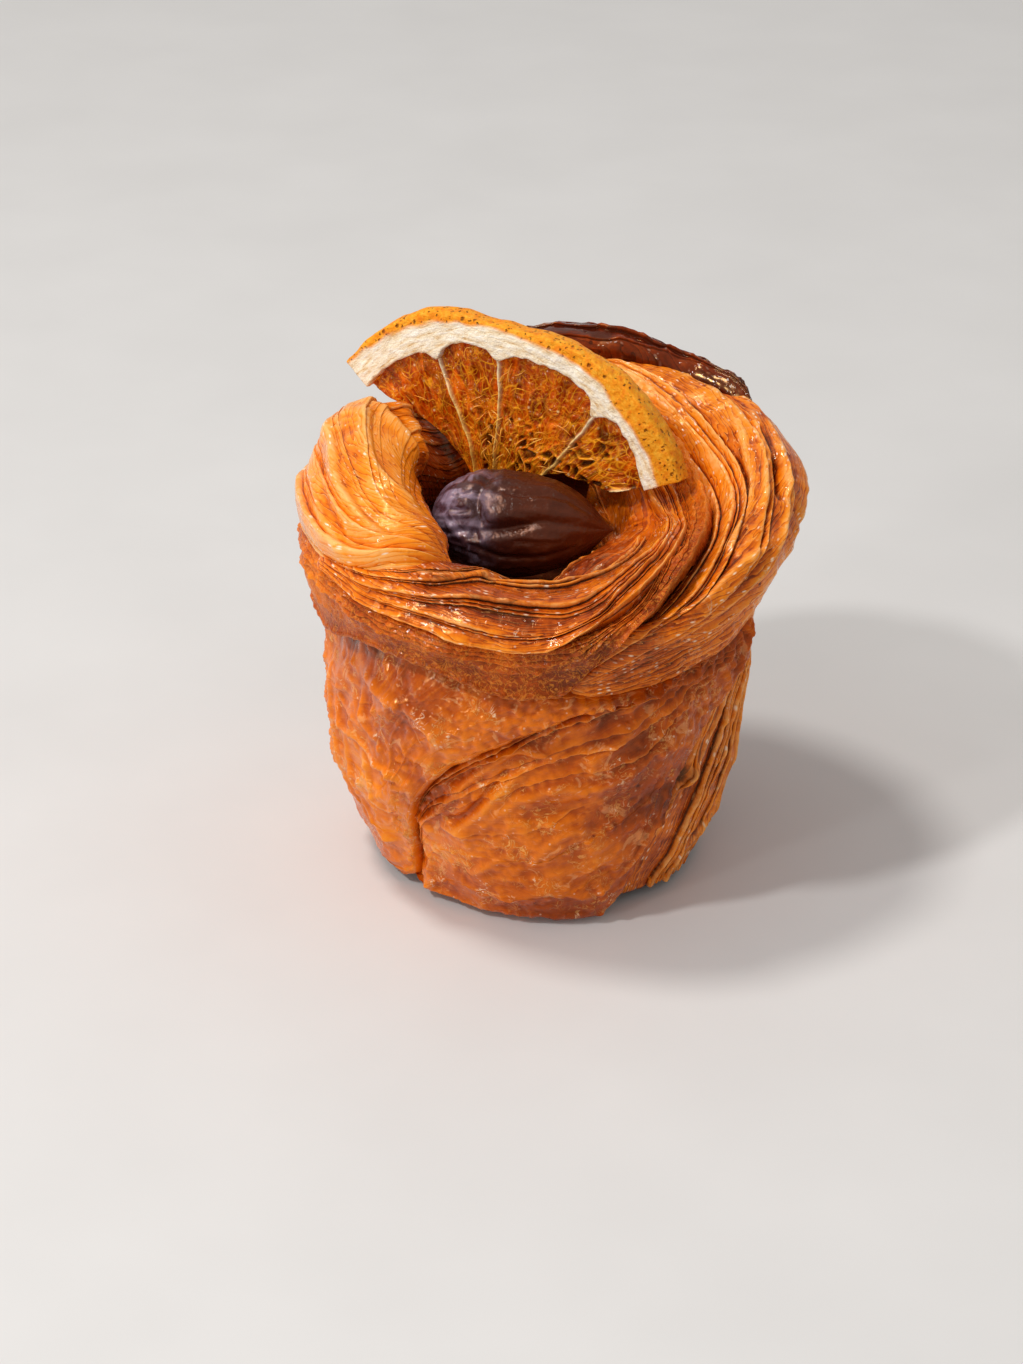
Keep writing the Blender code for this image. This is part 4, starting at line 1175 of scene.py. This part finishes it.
# The violet at the blunt end of this ramp is a painted sheen.
FRUIT_COLOURS = (
    (0.0, (0.13, 0.060, 0.085)), (0.3, (0.06, 0.019, 0.018)), (0.5, (0.085, 0.014, 0.004)),
    (1.0, (0.13, 0.024, 0.006)),
)
FRUIT_DARK = (0.013, 0.004, 0.003)
FRUIT_SHEEN = (0.36, 0.27, 0.36)
FRUIT_SHINE = (1.0, 0.50, 0.32, 1.0)
PITH_COLOURS = ((0.32, (0.72, 0.45, 0.20)), (0.45, (0.92, 0.76, 0.52)), (0.65, (1.0, 0.93, 0.80)))
ZEST_COLOURS = ((0.3, (0.88, 0.19, 0.003)), (0.5, (1.0, 0.35, 0.008)), (0.7, (1.0, 0.50, 0.04)))
ZEST_OLIVE = (0.50, 0.22, 0.003)
ZEST_PORE = (0.20, 0.035, 0.002)
PULP_COLOURS = (
    (0.40, (0.15, 0.009, 0.0003)), (0.60, (0.40, 0.037, 0.0004)), (0.82, (0.82, 0.13, 0.001)),
)
PULP_THREAD = (1.0, 0.42, 0.015)
PULP_GLINT = (1.0, 0.74, 0.36)
PULP_PIT_SHADE = (0.07, 0.008, 0.0008)
PULP_SHINE = (1.0, 0.50, 0.12, 1.0)
WALL_COLOURS = ((0.0, (1.0, 0.52, 0.06)), (0.6, (1.0, 0.70, 0.26)), (0.97, (1.0, 0.88, 0.62)))
FIBRE_COLOURS = ((0.35, (0.95, 0.30, 0.01)), (0.65, (1.0, 0.52, 0.06)))
FLOOR_COLOURS = ((0.3, (0.70, 0.685, 0.67)), (0.7, (0.73, 0.715, 0.70)))


def crust_patterns(m):
    """The numbers stored with a strand, and the patterns that its colour and relief share."""
    names = ("along", "across", "lined", "curls", "gloss", "relief", "edge", "toast", "contrast")
    p = SimpleNamespace(**{name: m.value(name) for name in names})
    # Fine layers: each rises slowly and ends in a sharp step.
    warp = m.noise(1.0, 3.0, 0.6, vector=m.vector(p.along * 0.06, p.across * 0.3))
    p.step = m.math("FRACT", warp.line(7.0, p.across * 1.1))
    # Curled bubbles of the drier skin.
    p.curl = m.noise(760.0, 2.0, 0.5, 1.2).threads(10.0) * p.curls
    p.worm = m.noise(520.0, 2.0, 0.5, 1.6).threads(20.0) * p.curls
    # Thin curled wrinkles of the smooth skin, which fade where it is baked dark; they are raised a little
    # and painted pale as highlights.
    p.smooth = (1.0 - p.lined.at_least(p.curls)) * p.toast.line(-1.8, 1.85).clamped()
    patchy = m.noise(200.0, 2.0, 0.5).line(8.0, -4.1).clamped()
    p.wrinkle = m.noise(430.0, 3.0, 0.55, 1.3).threads(32.0) * patchy * p.smooth
    p.bead = m.spots(m.place(), 800.0, 0.32, 0.28)
    return p


def crust_tone(m, p):
    """How dark the crust is: its toast, mottled by the patterns, with painted shade in low places and just
    below each fine layer's step, and painted light on raised places and towards each step.
    """
    streak = m.noise(1.6, 4.0, 0.65, vector=m.vector(p.along * 0.14, p.across))
    groove = (1.0 - p.step * 3.4).at_least(0.0)
    mottle = summed(-0.63, (
        (m.noise(230.0, 4.0, 0.6), 0.42),
        ((streak - 0.5).line(p.lined, 0.5), 0.55),
        (m.noise(1500.0, 3.0, 0.6), 0.25),
        # Painted light on raised places and painted shade in low ones.
        (p.relief.at_least(0.0), -0.26),
        (p.relief.at_most(0.0) * p.lined.line(0.5, 0.45), -0.9),
        # Painted shade just below each fine layer's step, painted light towards its lip.
        (groove * p.lined, 0.30),
        (p.step * p.lined, -0.2),
        (p.curl, -0.22),
        (m.spots(m.place(), 420.0, 0.2, 0.05), 0.7),
    ))
    return mottle.line(p.contrast, p.toast)


def lip_highlights(m, p):
    """Painted highlights along the broken lips of the fine layers, and on ridges and edges."""
    broken = m.noise(1.0, 3.0, 0.6, vector=m.vector(p.along * 0.45, p.across))
    ridge = p.relief.line(6.0, -3.3).clamped()
    lip = p.step.line(7.0, -6.0).at_least(0.0).at_least(ridge.at_least(p.edge))
    lip = lip * broken.line(9.0, -4.2).clamped() * p.lined
    return (lip * p.toast.line(-1.7, 1.7).at_least(0.0)).at_most(0.8)


def painted_glints(m, p):
    """Painted glints of light: short dashes along the layers, dots elsewhere."""
    dash = m.vector(p.along * 0.62, p.across * 1.7)
    dashes = m.spots(dash, 1.0, 0.33, 0.3) * (p.lined * 2.4)
    flash = m.noise(260.0, 2.0, 0.5).line(12.0, -6.6).at_least(0.0)
    dots = m.spots(m.place(), 700.0, 0.18, 0.4).at_least(flash * p.wrinkle * 1.6)
    glint = dashes.at_least(dots) * p.relief.line(3.5, 0.45).clamped()
    glint = glint * p.gloss.line(0.6, 0.2) * p.toast.line(-1.7, 2.0).at_most(1.0)
    return glint.at_least(0.0).at_most(0.9)


def crust_material():
    m = Nodes("baked_crust")
    p = crust_patterns(m)
    # Painted sheen: pale patches that stand in for reflections on the smooth skin.
    sheen_patches = m.noise(210.0, 4.0, 0.6, 1.4).line(18.0, -10.8).clamped() * p.smooth
    colour = m.ramp(crust_tone(m, p), CRUST_COLOURS)
    for share, paint in (
        # Painted highlight on the layers' edges and the folds' crests.
        (p.edge * p.toast.line(-0.95, 0.95).at_least(0.0), EDGE_HIGHLIGHT),
        # Painted highlights on the thin wrinkles.
        (p.wrinkle * 0.8, WRINKLE_HIGHLIGHT),
        (p.worm * 0.6, PALE_CURL),
        # Painted sheen patches.
        (sheen_patches * 0.42, SHEEN_PATCH_COLOUR),
        # Painted highlights on the layers' lips.
        (lip_highlights(m, p), LIP_HIGHLIGHT),
        # Painted glints.
        (painted_glints(m, p), GLINT),
    ):
        colour = m.mix(share, colour, paint)
    m.set(Base_Color=colour, Roughness=p.gloss.line(-0.42, 0.62).at_least(0.17))
    m.set(Specular_IOR_Level=0.5, Specular_Tint=CRUST_SHINE)
    m.set(Coat_Weight=p.gloss * 0.2, Coat_Roughness=0.06)
    dull = p.gloss.line(-0.3, 0.32).at_least(0.03)
    height = summed(m.noise(900.0, 3.0, 0.5) * dull, (
        (p.step * p.lined, 0.1),
        (p.curl, 0.1),
        (p.bead, 0.18),
        (p.wrinkle.at_least(p.worm), 0.1),
        (m.noise(400.0, 1.0, 0.5), 0.35),
    ))
    m.bump(height, 1.0, 0.0006)
    glaze = summed(m.noise(420.0, 2.0, 0.5), ((p.wrinkle, 0.1), (p.bead, 0.3)))
    m.bump(glaze, 1.0, 0.0005, "Coat Normal")
    return m.material


def fruit_material():
    m = Nodes("dried_fruit_skin")
    along = m.value("along")
    colour = m.ramp(along, FRUIT_COLOURS)
    colour = m.mix(m.noise(420.0, 4.0, 0.6) * 0.7, colour, FRUIT_DARK)
    # Painted violet-grey sheen at the blunt end, standing in for a reflection.
    blunt = along.line(-2.6, 1.0).at_least(0.0)
    painted_sheen = m.noise(300.0, 4.0, 0.6, 0.6).line(6.0, -2.6).clamped()
    colour = m.mix(painted_sheen * (blunt * 1.6).at_most(0.9), colour, FRUIT_SHEEN)
    m.set(Base_Color=colour, Roughness=0.28, Specular_IOR_Level=0.5, Specular_Tint=FRUIT_SHINE)
    m.set(Coat_Weight=blunt.line(0.8, 0.2), Coat_Roughness=0.11)
    m.bump(m.noise(1100.0, 3.0, 0.5), 0.6, 0.0003)
    m.bump(m.noise(520.0, 3.0, 0.6, 1.0), 1.0, 0.0004, "Coat Normal")
    return m.material


def rind_material():
    m = Nodes("orange_rind")
    peel = m.value("peel")
    streak = m.noise(1.1, 4.0, 0.65, 0.4, m.vector(m.value("turn") * 0.16, m.value("radius")))
    zest = m.ramp(m.noise(800.0, 4.0, 0.75), ZEST_COLOURS)
    zest = m.mix(m.value("olive") * 0.6 * m.noise(260.0, 3.0, 0.6), zest, ZEST_OLIVE)
    uneven = m.noise(1100.0, 2.0, 0.6).line(0.0016, -0.0008)
    moved = {0: m.place(), 1: m.vector(uneven, uneven, uneven)}
    moved = m.add("ShaderNodeVectorMath", moved).outputs[0]
    pore = m.spots(moved, 760.0, 0.30, 0.5).at_least(m.spots(moved, 1300.0, 0.32, 0.4)) * peel
    zest = m.mix((pore * 1.8).at_most(0.75), zest, ZEST_PORE)
    colour = m.mix(peel, m.ramp(streak, PITH_COLOURS), zest)
    m.set(Base_Color=colour, Roughness=0.5, Specular_IOR_Level=0.2)
    m.bump(summed(m.noise(900.0, 4.0, 0.65), ((pore, -0.8), (streak, 0.6))), 1.0, 0.0005)
    return m.material


def pulp_material():
    m = Nodes("orange_pulp")
    net_x, net_y = m.value("net_x"), m.value("net_y")
    net = m.vector(net_x, net_y)
    shown = m.noise(300.0, 2.0, 0.5).line(5.0, -2.0).at_least(0.15).at_most(1.0)
    fine = m.cell_walls(net, 0.95, 10.0) * m.value("torn").line(0.8, 0.2)
    line = (m.cell_walls(net, 0.62, 20.0) * shown).at_least(fine)
    flow = m.noise(0.9, 4.0, 0.6, vector=m.vector(net_x * 0.5, net_y))
    flesh = m.ramp(m.value("tone").line(0.2, flow), PULP_COLOURS)
    swirl = m.noise(300.0, 2.0, 0.5, 1.6).threads(32.0)
    thread = (m.value("fibre") * 0.2).at_least(swirl * 0.6).at_least(line)
    colour = m.mix(thread * 0.9, flesh, PULP_THREAD)
    # Painted glints.
    colour = m.mix(m.spots(m.place(), 620.0, 0.2, 0.3).at_most(0.8), colour, PULP_GLINT)
    # Painted shade inside the pits of the torn flesh.
    colour = m.mix(m.value("pit"), colour, PULP_PIT_SHADE)
    colour = m.mix(m.value("wall"), colour, m.ramp(m.value("near_pith"), WALL_COLOURS))
    m.set(Base_Color=colour, Roughness=0.28, Specular_IOR_Level=0.5, Specular_Tint=PULP_SHINE)
    m.set(Coat_Weight=0.12, Coat_Roughness=0.06)
    m.bump(summed(m.noise(700.0, 2.0, 0.5), ((swirl, 0.08), (line, 0.15))), 0.9, 0.0005)
    m.bump(m.noise(700.0, 2.0, 0.5), 1.0, 0.0004, "Coat Normal")
    return m.material


def fibre_material():
    m = Nodes("orange_fibre")
    colour = m.ramp(m.noise(500.0, 3.0, 0.5), FIBRE_COLOURS)
    m.set(Base_Color=colour, Roughness=0.35, Coat_Weight=0.4, Coat_Roughness=0.1)
    return m.material


def floor_material():
    m = Nodes("floor_finish")
    m.set(Base_Color=m.ramp(m.noise(25.0, 3.0, 0.5), FLOOR_COLOURS), Roughness=0.7)
    return m.material


# ---- stage ----


FLOOR_HALF_WIDTH = 3.0
FLOOR_DROP = 0.0002
# Round area lights: name, place, size, power, colour. All point at LIT_PLACE.
LIGHTS = (
    ("key", (-0.46, 0.06, 1.32), 0.24, 7.2, (1.0, 0.975, 0.94)),
    ("spark", (-0.40, -0.28, 0.62), 0.06, 1.8, (1.0, 1.0, 1.0)),
    ("low", (-0.66, -0.60, 0.24), 0.09, 1.2, (1.0, 1.0, 1.0)),
)
LIT_PLACE = (0.0, 0.0, 0.05)
WORLD_COLOUR = (1.0, 0.99, 0.98, 1.0)
WORLD_STRENGTH = 0.46
CAMERA_PLACE = (-0.0064, -0.48014, 0.29868)
CAMERA_DOWN = 29.2
CAMERA_LENS = 85.0
CAMERA_SENSOR = 36.0


def build_stage():
    half = FLOOR_HALF_WIDTH
    corners = [(-half, -half, 0), (half, -half, 0), (half, half, 0), (-half, half, 0)]
    mesh = bpy.data.meshes.new("floor")
    mesh.from_pydata(corners, [], [(0, 1, 2, 3)])
    mesh.materials.append(floor_material())
    floor = bpy.data.objects.new("floor", mesh)
    floor.location.z = -FLOOR_DROP
    bpy.context.scene.collection.objects.link(floor)


def build_lights():
    for name, place, size, power, colour in LIGHTS:
        light = bpy.data.lights.new(name, "AREA")
        light.shape = "DISK"
        light.size = size
        light.energy = power
        light.color = colour
        obj = bpy.data.objects.new(name, light)
        obj.location = place
        direction = Vector(LIT_PLACE) - Vector(place)
        obj.rotation_euler = direction.to_track_quat("-Z", "Y").to_euler()
        bpy.context.scene.collection.objects.link(obj)
    world = bpy.data.worlds.new("studio")
    bpy.context.scene.world = world
    world.use_nodes = True
    background = world.node_tree.nodes["Background"]
    background.inputs["Color"].default_value = WORLD_COLOUR
    background.inputs["Strength"].default_value = WORLD_STRENGTH
    bpy.context.scene.view_settings.view_transform = "Standard"


def build_camera():
    data = bpy.data.cameras.new("camera")
    data.lens = CAMERA_LENS
    data.sensor_width = CAMERA_SENSOR
    camera = bpy.data.objects.new("camera", data)
    camera.location = CAMERA_PLACE
    camera.rotation_euler = (math.radians(90.0 - CAMERA_DOWN), 0.0, 0.0)
    bpy.context.scene.collection.objects.link(camera)
    bpy.context.scene.camera = camera


# ---- assembly ----


def main():
    crust = crust_material()
    piece(build_core(), crust, "pastry")
    for number, (name, spec) in enumerate(STRANDS.items()):
        generator = np.random.default_rng(100 + number)
        strand = build_strand(name, PLAIN_STRAND | spec, generator)
        piece(strand, crust, "pastry")
    piece(build_fruit(), fruit_material(), "dark_fruit")
    piece(build_rind(), rind_material(), "orange_slice")
    piece(build_pulp(), pulp_material(), "orange_slice")
    fibres = build_fibres(np.random.default_rng(77))
    piece(fibres, fibre_material(), "orange_slice")
    build_stage()
    build_lights()
    build_camera()


main()
